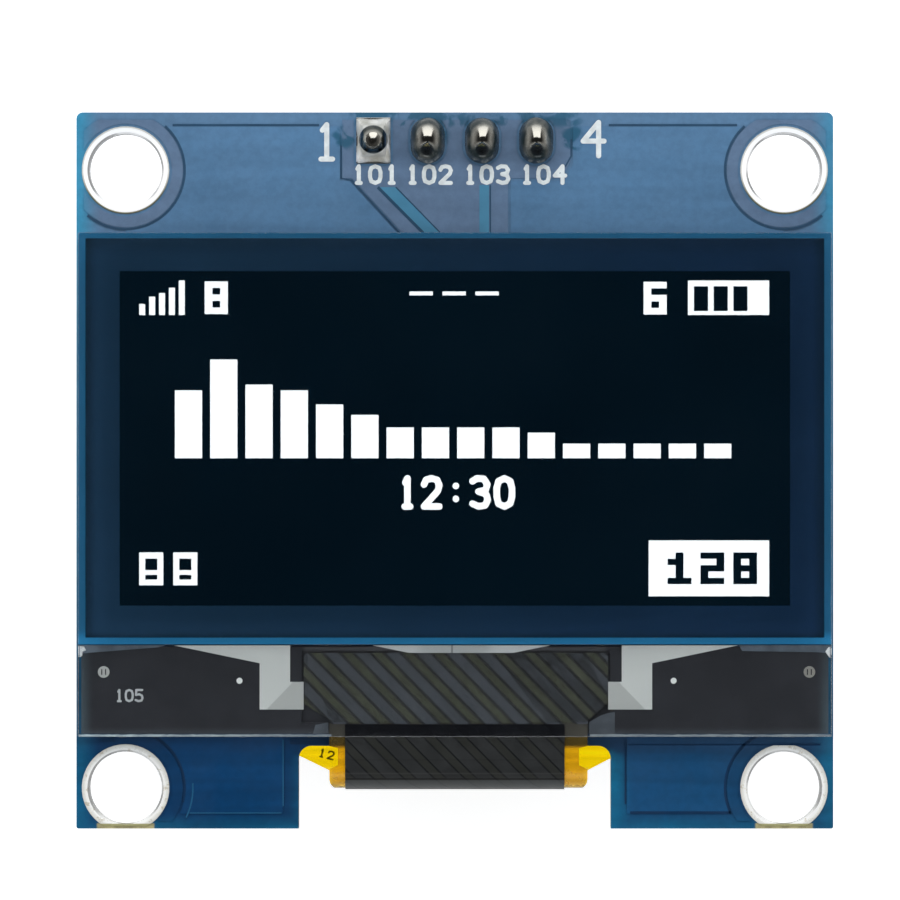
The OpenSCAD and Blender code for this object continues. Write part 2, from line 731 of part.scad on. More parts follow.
// A square pin, tapered at both ends: two crossed outlines of the same length
module header_pin(i) {
    top = board_t + pin_front;
    low = -housing_h - pin_rear;
    s = pin_side / 2;
    e = pin_side / 4;
    side = [[-s, low + pin_tip], [-e, low], [e, low], [s, low + pin_tip],
        [s, top - pin_tip], [e, top], [-e, top], [-s, top - pin_tip]];
    color([0.83, 0.76, 0.55]) at_pin(i) intersection() {
        rotate([90, 0, 0]) linear_extrude(pin_side, center = true) polygon(side);
        rotate([90, 0, 90]) linear_extrude(pin_side, center = true) polygon(side);
    }
}

// The solder of one pin: a concave foot over its pad, a sleeve up the pin, and the filled hole
module solder_joint(i) {
    sleeve_r = pin_hole_r + 0.02;
    foot_t = 0.08;
    fillet = pad_w / 2 - sleeve_r;
    z0 = board_t + copper_t;
    color([0.72, 0.73, 0.72]) at_pin(i) difference() {
        union() {
            translate([0, 0, -copper_t]) cylinder(r = pin_hole_r, h = z0 + copper_t);
            for (s = [-1, 0, 1]) translate([0, s * (pad_l - pad_w) / 2, z0])
                solder_cone(sleeve_r, fillet, foot_t, s == 0 ? solder_h : solder_h * 0.7);
            translate([0, 0, z0]) linear_extrude(foot_t) pad_outline(i);
        }
        cube([pin_side, pin_side, 4 * solder_h + 4 * board_t], center = true);
    }
}

module solder_cone(sleeve_r, fillet, foot_t, h) {
    rotate_extrude() {
        square([sleeve_r, h]);
        difference() {
            square([sleeve_r + fillet, fillet + foot_t]);
            translate([sleeve_r + fillet, fillet + foot_t]) circle(fillet);
        }
    }
}

// ---------------------------------------------------------------- small parts on the rear
// The body of a two-ended chip between its end caps
module chip_body(spot, h) {
    l = chip_l - 2 * end_cap_l;
    on_rear(spot) translate([-l / 2, -chip_w / 2, chip_seat + cap_proud])
        cube([l, chip_w, h - 2 * cap_proud]);
}

module chip_caps(spot, h) {
    w = chip_w + 2 * cap_proud;
    on_rear(spot) for (s = [0, 1]) mirror([s, 0, 0])
        translate([chip_l / 2 - end_cap_l, -w / 2, chip_seat]) cube([end_cap_l, w, h]);
}

// The board's pad and the solder slope at each end of a chip
module chip_lands(spot) {
    on_rear(spot) for (s = [0, 1]) mirror([s, 0, 0])
        translate([chip_l / 2 - end_cap_l, -chip_w / 2 - 0.05, 0]) cube([end_cap_l + 0.5, chip_w + 0.1, copper_t]);
}

module chip_slopes(spot, h) {
    on_rear(spot) for (s = [0, 1]) mirror([s, 0, 0])
        translate([chip_l / 2, chip_w / 2 - 0.05, chip_seat]) rotate([90, 0, 0])
            linear_extrude(chip_w - 0.1) polygon([[0, 0], [0.4, 0], [0.12, h * 0.3], [0, h * 0.7]]);
}

module capacitor(i) {
    color([0.66, 0.52, 0.36]) chip_body(capacitor_spots[i - 1], capacitor_h);
}

module resistor(i) {
    color([0.1, 0.1, 0.11]) chip_body(resistor_spots[i - 1], resistor_h);
}

module chip_end_caps() {
    color([0.78, 0.78, 0.76]) {
        for (spot = capacitor_spots) chip_caps(spot, capacitor_h);
        for (spot = resistor_spots) chip_caps(spot, resistor_h);
    }
}

module chip_solder() {
    color([0.72, 0.73, 0.72]) {
        for (spot = capacitor_spots) chip_slopes(spot, capacitor_h);
        for (spot = resistor_spots) chip_slopes(spot, resistor_h);
    }
}

module chip_pads() {
    color([0.8, 0.8, 0.78]) {
        for (spot = concat(capacitor_spots, resistor_spots)) chip_lands(spot);
        at_leads() translate([-lead_w / 2 - 0.1, -0.2, 0]) cube([lead_w + 0.2, lead_out + 0.3, copper_t]);
    }
}

// Where the feet of the moulded parts leave them, each pointing along local +Y: the regulator
// has two on one long side and one on the other, the diode has one at each end
module at_leads() {
    on_rear(regulator_spot) {
        for (x = [-1, 1]) translate([x * lead_pitch, regulator_w / 2, 0]) children();
        rotate([0, 0, 180]) translate([0, regulator_w / 2, 0]) children();
    }
    on_rear(diode_spot) for (turn = [90, -90])
        rotate([0, 0, turn]) translate([0, diode_l / 2, 0]) children();
}

// A moulded body, with the draught that lets it leave its mould, along its long sides
module moulded_body(spot, l, w) {
    mid = moulded_h / 2;
    on_rear(spot) translate([0, 0, chip_seat + body_lift]) rotate([90, 0, 90])
        linear_extrude(l, center = true) polygon([
            [-w / 2 + draught, 0], [w / 2 - draught, 0], [w / 2, mid],
            [w / 2 - draught, moulded_h], [-w / 2 + draught, moulded_h], [-w / 2, mid]]);
}

module regulator_body() {
    color([0.1, 0.1, 0.11]) moulded_body(regulator_spot, regulator_l, regulator_w);
}

module diode_body() {
    color([0.1, 0.1, 0.11]) moulded_body(diode_spot, diode_l, diode_w);
}

module moulded_part_leads() {
    mid = chip_seat + body_lift + moulded_h / 2;
    knee = 0.22;
    heel = 0.3;
    color([0.75, 0.75, 0.73]) at_leads() rotate([90, 0, 90]) linear_extrude(lead_w, center = true)
        polygon([[0, mid - lead_t / 2], [knee, mid - lead_t / 2], [heel, chip_seat],
            [lead_out, chip_seat], [lead_out, chip_seat + lead_t], [heel + lead_t, chip_seat + lead_t],
            [knee + lead_t, mid + lead_t / 2], [0, mid + lead_t / 2]]);
}

circuit_board();
mounting_hole_plating();
header_pads();
flex_pads();
chip_pads();
front_copper_ground();
front_copper_fill();
mounting_tape();
cap_glass();
edge_seal();
desiccant_sheet();
emitter_layer();
lit_pixels();
substrate_glass();
polariser();
electrode(-1);  // electrode_left
electrode(1);  // electrode_right
electrode_middle();
alignment_marks();
driver_chip();
ledge_tape();
flex_film();
shield_hatch();
bond_adhesive();
flex_coverlay();
flex_fingers();
finger_solder();
header_housing();
for (i = [1:pin_count]) header_pin(i);
for (i = [1:pin_count]) solder_joint(i);
for (i = [1:len(capacitor_spots)]) capacitor(i);
for (i = [1:len(resistor_spots)]) resistor(i);
diode_body();
regulator_body();
moulded_part_leads();
chip_end_caps();
chip_solder();
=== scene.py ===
"""Small monochrome display module: the looks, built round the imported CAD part.

The pieces' sizes and places are written in millimetres and made metres by MM, in the frame of
the CAD part: the origin is the centre of the four mounting holes on the board's rear face, +Y
points to the pin header and +Z out of the display. The stage's settings are in metres.
"""

import json
import math
import random

import bmesh
import bpy
from bpy.props import FloatProperty, FloatVectorProperty, IntProperty, PointerProperty
from mathutils import Matrix, Vector, noise


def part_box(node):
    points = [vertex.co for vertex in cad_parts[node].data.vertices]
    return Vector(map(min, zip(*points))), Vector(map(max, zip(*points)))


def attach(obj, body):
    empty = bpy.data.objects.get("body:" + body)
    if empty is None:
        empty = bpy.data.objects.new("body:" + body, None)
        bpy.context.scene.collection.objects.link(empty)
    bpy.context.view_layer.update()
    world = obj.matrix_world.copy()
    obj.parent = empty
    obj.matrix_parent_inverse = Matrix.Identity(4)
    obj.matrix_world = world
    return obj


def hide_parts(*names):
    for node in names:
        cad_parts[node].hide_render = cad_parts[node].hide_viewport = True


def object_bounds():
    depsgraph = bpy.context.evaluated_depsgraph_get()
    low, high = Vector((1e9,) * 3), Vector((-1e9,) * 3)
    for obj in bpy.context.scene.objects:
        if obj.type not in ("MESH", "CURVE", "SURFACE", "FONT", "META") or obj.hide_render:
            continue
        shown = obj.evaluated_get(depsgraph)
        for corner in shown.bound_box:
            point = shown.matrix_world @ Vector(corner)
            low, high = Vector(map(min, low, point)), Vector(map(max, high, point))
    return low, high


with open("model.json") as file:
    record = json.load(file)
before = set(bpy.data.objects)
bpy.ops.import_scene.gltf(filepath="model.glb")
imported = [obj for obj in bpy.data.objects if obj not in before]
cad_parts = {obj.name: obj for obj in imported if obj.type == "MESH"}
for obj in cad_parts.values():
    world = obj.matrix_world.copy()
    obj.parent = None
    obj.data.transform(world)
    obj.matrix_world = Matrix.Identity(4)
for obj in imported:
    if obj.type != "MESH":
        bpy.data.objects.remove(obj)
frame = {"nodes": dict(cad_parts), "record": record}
CAD_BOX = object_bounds()
NODES = frame["nodes"]

bl_info = {
    "name": "Display module looks",
    "version": (1, 0, 0),
    "blender": (4, 5, 0),
    "location": "View3D > Sidebar > Display Module",
    "description": "Dresses the display module's CAD part and sets up its stage",
    "category": "Object",
}

MM = 0.001
SHARP_ANGLE = math.radians(20)
MERGE_DISTANCE = 1e-6
# The shield's stripes in millimetres: their pitch, a point on the middle of one stripe, and how
# far they shift sideways for each millimetre along the flex.
STRIPE_PITCH = 1.42
STRIPE_X, STRIPE_Y = -5.64, -8.216
STRIPE_SLANT = 0.983


# ---------------------------------------------------------------- the part's own places


def box_mm(*names):
    """The box round some CAD nodes at rest, as its lowest and highest corner in millimetres."""
    boxes = [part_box(name) for name in names]
    low = [min(b[0][i] for b in boxes) / MM for i in range(3)]
    high = [max(b[1][i] for b in boxes) / MM for i in range(3)]
    return low, high


BOARD_LOW, BOARD_HIGH = box_mm("circuit_board")
GLASS_LOW, GLASS_HIGH = box_mm("substrate_glass")
POLAR_LOW, POLAR_HIGH = box_mm("polariser")
EMIT_LOW, EMIT_HIGH = box_mm("emitter_layer")
COVER_LOW, COVER_HIGH = box_mm("flex_coverlay")
BOND_LOW, BOND_HIGH = box_mm("bond_adhesive")
PADS_LOW, PADS_HIGH = box_mm("header_pads")
FILM_LOW = box_mm("flex_film")[0]
BOARD_FRONT = BOARD_HIGH[2]
PIN_TOP = box_mm("header_pin_1")[1][2]
PIN_COUNT = sum(1 for name in NODES if name.startswith("header_pin_"))
PIN_PLACES = []
for pin_number in range(1, PIN_COUNT + 1):
    pin_low, pin_high = box_mm("header_pin_%d" % pin_number)
    PIN_PLACES.append(((pin_low[0] + pin_high[0]) / 2, (pin_low[1] + pin_high[1]) / 2))
HOLE_DIMS = frame["record"]["mounts"][0]["dims"]
HOLE_X = HOLE_DIMS["spacing_x_mm"] / 2
HOLE_Y = HOLE_DIMS["spacing_y_mm"] / 2
HOLE_R = HOLE_DIMS["hole_r_mm"]
RING_R = box_mm("mounting_hole_plating")[1][0] - HOLE_X
# The notch's half width and upper end, and the film's thickness, come from the parts' own points.
FOOT_CORNERS = [v.co for v in NODES["circuit_board"].data.vertices
                if v.co.y < (BOARD_LOW[1] + 0.01) * MM]
NOTCH_X = min(abs(co.x) for co in FOOT_CORNERS) / MM
NOTCH_Y = min(v.co.y for v in NODES["circuit_board"].data.vertices
              if abs(v.co.x) < (NOTCH_X - 0.05) * MM) / MM
TAIL_HEIGHTS = [v.co.z / MM for v in NODES["flex_film"].data.vertices
                if v.co.y > GLASS_LOW[1] * MM and v.co.z < 0]
FILM_T = max(TAIL_HEIGHTS) - min(TAIL_HEIGHTS)


# ---------------------------------------------------------------- mesh helpers


def weighted_normals(bm):
    """A normal for each corner, in which a large flat face outweighs the narrow faces beside it."""
    bm.normal_update()
    limit = math.cos(SHARP_ANGLE)
    weights = {face: face.normal * face.calc_area() for face in bm.faces}
    normals = []
    for face in bm.faces:
        for loop in face.loops:
            total = Vector((0, 0, 0))
            for other in loop.vert.link_faces:
                if other.normal.dot(face.normal) > limit:
                    total += weights[other]
            normals.append(total.normalized() if total.length > 0 else face.normal.copy())
    return normals


def new_piece(name, bm, material, record_slot, *replaced):
    """Makes a finished piece from a bmesh in metres, at the origin, riding on the part."""
    bmesh.ops.recalc_face_normals(bm, faces=bm.faces[:])
    for edge in bm.edges:
        edge.smooth = not (len(edge.link_faces) == 2 and edge.calc_face_angle(0) > SHARP_ANGLE)
    for face in bm.faces:
        face.smooth = True
    normals = weighted_normals(bm)
    mesh = bpy.data.meshes.new(name)
    bm.to_mesh(mesh)
    bm.free()
    mesh.normals_split_custom_set(normals)
    mesh.materials.append(material)
    piece = bpy.data.objects.new(name, mesh)
    bpy.context.scene.collection.objects.link(piece)
    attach(piece, "root")
    if replaced:
        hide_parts(*replaced)


def dress(name, material):
    """Gives a CAD node its material."""
    node = NODES[name]
    if not node.material_slots:
        node.data.materials.append(material)
    for slot in node.material_slots:
        slot.material = material


def slot_of(name):
    """The material slot that the record gives a CAD node."""
    for part in frame["record"]["subparts"]:
        if part["node"] == name:
            return part["material_slot"]
    raise RuntimeError("the record has no node named " + name)


def merged_copy(name):
    """A bmesh of a CAD node with its loose triangles joined into whole faces."""
    bm = bmesh.new()
    bm.from_mesh(NODES[name].data)
    bmesh.ops.remove_doubles(bm, verts=bm.verts[:], dist=MERGE_DISTANCE)
    bmesh.ops.dissolve_limit(
        bm, angle_limit=math.radians(0.6), use_dissolve_boundaries=False,
        verts=bm.verts[:], edges=bm.edges[:])
    return bm


def softened(name, width, material, segments=2, angle=35, shape=None):
    """Replaces a CAD node with a copy whose edges are rounded."""
    bm = merged_copy(name)
    limit = math.radians(angle)
    sharp = [e for e in bm.edges if len(e.link_faces) == 2 and e.calc_face_angle(0) > limit]
    if sharp:
        bmesh.ops.bevel(
            bm, geom=sharp, offset=width * MM, offset_type="OFFSET", segments=segments,
            profile=0.5, affect="EDGES", clamp_overlap=True, material=-1)
    if shape:
        shape(bm)
    new_piece(name + "_finished", bm, material, slot_of(name), name)


def raise_faces(bm, faces, height):
    """Extrudes faces straight up, by a height in millimetres."""
    made = bmesh.ops.extrude_face_region(bm, geom=faces)
    raised = [v for v in made["geom"] if isinstance(v, bmesh.types.BMVert)]
    bmesh.ops.translate(bm, vec=(0, 0, height * MM), verts=raised)


def join(bm, part):
    """Moves all of one bmesh into another."""
    mesh = bpy.data.meshes.new("joined")
    part.to_mesh(mesh)
    part.free()
    bm.from_mesh(mesh)
    bpy.data.meshes.remove(mesh)


def add_box(bm, low, high):
    """Adds a box to a bmesh, from its lowest and highest corner in millimetres."""
    size = [(high[i] - low[i]) * MM for i in range(3)]
    middle = [(high[i] + low[i]) / 2 * MM for i in range(3)]
    made = bmesh.ops.create_cube(bm, size=1.0)
    bmesh.ops.scale(bm, vec=size, verts=made["verts"])
    bmesh.ops.translate(bm, vec=middle, verts=made["verts"])


def add_plate(bm, outline, low, high):
    """Adds a plate to a bmesh: an outline in millimetres, raised from one height to another."""
    face = bm.faces.new([bm.verts.new((x * MM, y * MM, low * MM)) for x, y in outline])
    raise_faces(bm, [face], high - low)


def add_ribbon(bm, path, width, low, high):
    """Adds a flat ribbon of one width that follows a path in millimetres."""
    left, right = [], []
    last = len(path) - 1
    for i, (x, y) in enumerate(path):
        before, after = path[max(i - 1, 0)], path[min(i + 1, last)]
        along = Vector((after[0] - before[0], after[1] - before[1])).normalized()
        out = Vector((-along.y, along.x)) * width / 2
        if 0 < i < last:
            first = Vector((x - before[0], y - before[1])).normalized()
            out /= max(0.5, along.dot(first))
        left.append((x + out.x, y + out.y))
        right.append((x - out.x, y - out.y))
    add_plate(bm, left + right[::-1], low, high)


def new_ribbons(name, material, rise, *ribbons):
    """Makes one piece of ribbons that lie on the board's front; each is a path and its width."""
    bm = bmesh.new()
    for path, width in ribbons:
        add_ribbon(bm, path, width, BOARD_FRONT, BOARD_FRONT + rise)
    new_piece(name, bm, material, "blue_laminate")


def arc(x, y, radius, start, end, steps):
    """Points along an arc in millimetres, with its angles in degrees."""
    turns = [math.radians(start + (end - start) * i / steps) for i in range(steps + 1)]
    return [(x + radius * math.cos(turn), y + radius * math.sin(turn)) for turn in turns]


def add_digits(bm, words, low, high, height, bold):
    """Adds plain digits as raised shapes, centred on the origin, with sizes in millimetres."""
    curve = bpy.data.curves.new("digits", "FONT")
    curve.body = words
    curve.size = 1.0
    curve.offset = bold
    curve.resolution_u = 5
    curve.extrude = 0.5
    holder = bpy.data.objects.new("digits", curve)
    bpy.context.scene.collection.objects.link(holder)
    bpy.context.view_layer.update()
    graph = bpy.context.evaluated_depsgraph_get()
    mesh = bpy.data.meshes.new_from_object(holder.evaluated_get(graph))
    bpy.data.objects.remove(holder)
    bpy.data.curves.remove(curve)
    lows = [min(v.co[i] for v in mesh.vertices) for i in range(3)]
    highs = [max(v.co[i] for v in mesh.vertices) for i in range(3)]
    size = height / (highs[1] - lows[1]) * MM
    middle = Vector([(lows[i] + highs[i]) / 2 for i in range(3)])
    mesh.transform(
        Matrix.Translation(Vector((0, 0, (low + high) / 2)) * MM)
        @ Matrix.Diagonal((size, size, (high - low) * MM / (highs[2] - lows[2]), 1))
        @ Matrix.Translation(-middle))
    part = bmesh.new()
    part.from_mesh(mesh)
    bpy.data.meshes.remove(mesh)
    bmesh.ops.remove_doubles(part, verts=part.verts[:], dist=1e-8)
    join(bm, part)


STROKE_DIGITS = {
    "0": (((0.5, 0), (0.12, 0.1), (0, 0.35), (0, 0.65), (0.12, 0.9), (0.5, 1), (0.88, 0.9), (1, 0.65),
           (1, 0.35), (0.88, 0.1), (0.5, 0)),),
    "1": (((0.12, 0.84), (0.5, 1), (0.5, 0)), ((0, 0), (1, 0))),
    "2": (((0, 0.78), (0.14, 0.95), (0.5, 1), (0.86, 0.94), (1, 0.75), (0.9, 0.55), (0, 0), (1, 0)),),
    "3": (((0, 0.9), (0.3, 1), (0.75, 0.98), (0.97, 0.78), (0.85, 0.58), (0.4, 0.53)),
          ((0.4, 0.53), (0.88, 0.45), (1, 0.24), (0.82, 0.04), (0.4, 0), (0, 0.1))),
    "4": (((0.74, 1), (0, 0.44), (1, 0.44)), ((0.74, 1), (0.74, 0))),
    "5": (((0.95, 1), (0.1, 1), (0.05, 0.55), (0.5, 0.62), (0.9, 0.5), (1, 0.28), (0.85, 0.06),
           (0.4, 0), (0, 0.1)),),
    ":": (((0.5, 0.27), (0.5, 0.271)), ((0.5, 0.73), (0.5, 0.731))),
}
CAP_STEPS = 8


def add_stroke(bm, path, width, low, high):
    """Adds one pen stroke as round-ended plates, each a hair lower than the one before it."""
    step = (high - low) * 0.05
    for i, (start, end) in enumerate(zip(path, path[1:])):
        turn = math.degrees(math.atan2(end[1] - start[1], end[0] - start[0]))
        outline = (arc(end[0], end[1], width / 2, turn - 90, turn + 90, CAP_STEPS)
                   + arc(start[0], start[1], width / 2, turn + 90, turn + 270, CAP_STEPS))
        add_plate(bm, outline, low, high - step * (i % 5))


def add_pen_digits(bm, words, x, y, low, high, height, digit_w, pitch, pen):
    """Adds plain digits drawn with a round pen, centred on a place in millimetres."""
    for i, digit in enumerate(words):
        wide = digit_w * (0.55 if digit == "1" else 1.0)
        left = x + (i - (len(words) - 1) / 2) * pitch - (wide - pen) / 2
        for rank, stroke in enumerate(STROKE_DIGITS[digit]):
            path = [(left + px * (wide - pen), y - (height - pen) / 2 + py * (height - pen))
                    for px, py in stroke]
            add_stroke(bm, path, pen, low, high - (high - low) * 0.27 * rank)


CELL_DIGITS = {
    "1": (".#.", "##.", ".#.", ".#.", "###"), "2": ("###", "..#", "###", "#..", "###"),
    "6": ("###", "#..", "###", "#.#", "###"), "8": ("###", "#.#", "###", "#.#", "###"),
}


def add_cell_digit(bm, digit, left, top, cell_w, cell_h, low, high):
    """Adds a digit made of whole picture elements, from its upper left corner in millimetres."""
    rows = CELL_DIGITS[digit]
    wide, tall = len(rows[0]), len(rows)
    part = bmesh.new()
    bmesh.ops.create_grid(part, x_segments=wide, y_segments=tall, size=0.5)
    off = []
    for face in part.faces:
        middle = face.calc_center_median()
        row = min(tall - 1, int((0.5 - middle.y) * tall))
        column = min(wide - 1, int((middle.x + 0.5) * wide))
        if rows[row][column] != "#":
            off.append(face)
    bmesh.ops.delete(part, geom=off, context="FACES")
    raise_faces(part, part.faces[:], 1 / MM)
    part.transform(
        Matrix.Translation(Vector((left + wide * cell_w / 2, top - tall * cell_h / 2, low)) * MM)
        @ Matrix.Diagonal((wide * cell_w * MM, tall * cell_h * MM, (high - low) * MM, 1)))
    join(bm, part)


# ---------------------------------------------------------------- material helpers


def set_inputs(tree, node, values):
    """Fills a node's inputs: another node's output is linked, and anything else is a value."""
    for key, value in values.items():
        if isinstance(value, bpy.types.NodeSocket):
            tree.links.new(value, node.inputs[key])
        else:
            node.inputs[key].default_value = value


def add(tree, kind, values=None, **settings):
    """Adds a node to a tree: values go to its inputs and settings to its options."""
    made = tree.nodes.new(kind)
    for key, value in settings.items():
        setattr(made, key, value)
    set_inputs(tree, made, values or {})
    return made


def place(tree):
    """The place on a piece, in metres."""
    return add(tree, "ShaderNodeTexCoord").outputs["Object"]


def facing(tree):
    """The direction that a piece's surface faces, before the piece is placed."""
    return add(tree, "ShaderNodeTexCoord").outputs["Normal"]


def parts_of(tree, vector):
    """The three parts of a vector."""
    return add(tree, "ShaderNodeSeparateXYZ", {0: vector}).outputs


def calc(tree, operation, first, second=0.0):
    """A number worked out from one or two others."""
    return add(tree, "ShaderNodeMath", {0: first, 1: second}, operation=operation).outputs[0]


def product(tree, first, *others):
    """Numbers multiplied together."""
    for other in others:
        first = calc(tree, "MULTIPLY", first, other)
    return first


def size_of(tree, value):
    """A number without its sign."""
    return calc(tree, "ABSOLUTE", value)


def apart(tree, value, middle):
    """How far one number lies from another, to either side."""
    return size_of(tree, calc(tree, "SUBTRACT", value, middle))


def ramp(tree, value, start, end, low=0.0, high=1.0):
    """A number that passes smoothly from low to high while a value goes from start to end."""
    return add(tree, "ShaderNodeMapRange",
               {"Value": value, "From Min": start, "From Max": end, "To Min": low, "To Max": high},
               interpolation_type="SMOOTHSTEP", clamp=True).outputs[0]


def ramp_mm(tree, value, start, end, low=0.0, high=1.0):
    """A ramp over a place in metres, with its start and end in millimetres."""
    return ramp(tree, value, start * MM, end * MM, low, high)


def blend(tree, factor, first, second, mode="MIX"):
    """Two colours mixed by a factor."""
    made = add(tree, "ShaderNodeMix", data_type="RGBA", blend_type=mode)
    first, second = [value if isinstance(value, bpy.types.NodeSocket) else (*value[:3], 1)
                     for value in (first, second)]
    set_inputs(tree, made, {0: factor, 6: first, 7: second})
    return made.outputs[2]


def toned(tree, colour, tone, blue=None):
    """A colour multiplied by a number, with a number of its own for the blue if one is given."""
    tones = {0: tone, 1: tone, 2: tone if blue is None else blue}
    grey = add(tree, "ShaderNodeCombineColor", tones).outputs[0]
    return blend(tree, 1.0, colour, grey, "MULTIPLY")


def speckle(tree, where, scale, detail=3.0, roughness=0.5, distortion=0.0):
    """Cloudy noise between 0 and 1."""
    return add(tree, "ShaderNodeTexNoise",
               {"Vector": where, "Scale": scale, "Detail": detail, "Roughness": roughness,
                "Distortion": distortion}).outputs["Fac"]


def wave(tree, where, scale, direction, distortion=0.0, fineness=1.0):
    """Soft bands across one direction, between 0 and 1."""
    return add(tree, "ShaderNodeTexWave",
               {"Vector": where, "Scale": scale, "Distortion": distortion,
                "Detail Scale": fineness},
               wave_type="BANDS", bands_direction=direction).outputs["Fac"]


def stretched(tree, where, scale):
    """A place with each direction scaled by its own number."""
    return add(tree, "ShaderNodeMapping", {"Vector": where, "Scale": scale}).outputs[0]


def scaled(tree, where, scale):
    """A place with all its directions scaled by one number."""
    return add(tree, "ShaderNodeVectorMath", {0: where, 3: scale}, operation="SCALE").outputs[0]


def off_point(tree, where, x, y, squash=1.0):
    """The distance in metres, seen from the front, from a point in millimetres."""
    return add(tree, "ShaderNodeVectorMath",
               {0: stretched(tree, where, (1, squash, 0)), 1: (x * MM, y * squash * MM, 0)},
               operation="DISTANCE").outputs["Value"]


def new_group(name, inputs, outputs):
    """An empty shader node group with named sockets, and its input and output nodes."""
    tree = bpy.data.node_groups.new(name, "ShaderNodeTree")
    for socket, kind, value in inputs:
        made = tree.interface.new_socket(name=socket, in_out="INPUT", socket_type=kind)
        if value is not None:
            made.default_value = value
    for socket, kind in outputs:
        tree.interface.new_socket(name=socket, in_out="OUTPUT", socket_type=kind)
    return tree, tree.nodes.new("NodeGroupInput").outputs, tree.nodes.new("NodeGroupOutput").inputs


def use(tree, group, values):
    """Places a node group in a material and gives its output."""
    made = tree.nodes.new("ShaderNodeGroup")
    made.node_tree = bpy.data.node_groups[group]
    set_inputs(tree, made, values)
    return made.outputs[0]


def gloss(tree, where, size, clean, hazy):
    """Uneven roughness, from clean places to hazy ones."""
    return use(tree, "handling_haze", {"Place": where, "Size": size, "Clean": clean, "Hazy": hazy})


def relief(tree, where, scale, depth, strength=0.5):
    """The normal of a fine grain."""
    return use(tree, "fine_grain", {"Place": where, "Scale": scale, "Depth": depth,
                                    "Strength": strength})


VECTOR, NUMBER, COLOUR = "NodeSocketVector", "NodeSocketFloat", "NodeSocketColor"


def make_groups():
    """Builds the effects that several materials share."""
    tree, given, result = new_group(
        "fine_grain",
        [("Place", VECTOR, None), ("Scale", NUMBER, 4000.0), ("Depth", NUMBER, 2e-6),
         ("Strength", NUMBER, 0.5)],
        [("Normal", VECTOR)])
    height = speckle(tree, scaled(tree, given["Place"], given["Scale"]), 1.0, 4.0, 0.6)
    bump = add(tree, "ShaderNodeBump", {"Height": height, "Distance": given["Depth"],
                                        "Strength": given["Strength"]})
    tree.links.new(bump.outputs[0], result["Normal"])

    tree, given, result = new_group(
        "handling_haze",
        [("Place", VECTOR, None), ("Size", NUMBER, 300.0), ("Clean", NUMBER, 0.2),
         ("Hazy", NUMBER, 0.4)],
        [("Roughness", NUMBER)])
    broad = speckle(tree, scaled(tree, given["Place"], given["Size"]), 1.0, 5.0, 0.65, 0.4)
    value = add(tree, "ShaderNodeMapRange",
                {"Value": broad, "From Min": 0.35, "From Max": 0.7, "To Min": given["Clean"],
                 "To Max": given["Hazy"]}, clamp=True)
    tree.links.new(value.outputs[0], result["Roughness"])

    tree, given, result = new_group(
        "glass_weave", [("Place", VECTOR, None), ("Depth", NUMBER, 3e-6)], [("Normal", VECTOR)])
    warp = wave(tree, given["Place"], 620.0, "X", 1.2, 1.5)
    weft = wave(tree, given["Place"], 700.0, "Y", 1.0, 1.5)
    height = calc(tree, "ADD", product(tree, warp, 0.35), weft)
    height = calc(tree, "ADD", height, speckle(tree, given["Place"], 1800.0, 3.0))
    bump = add(tree, "ShaderNodeBump", {"Height": height, "Distance": given["Depth"],
                                        "Strength": 0.6})
    tree.links.new(bump.outputs[0], result["Normal"])
    make_mask_tint()


# In millimetres: how far the board's edge glow reaches, and the radius of the small flux spots.
GLOW_WIDTH = 1.2
FLUX_SPOT = 0.75


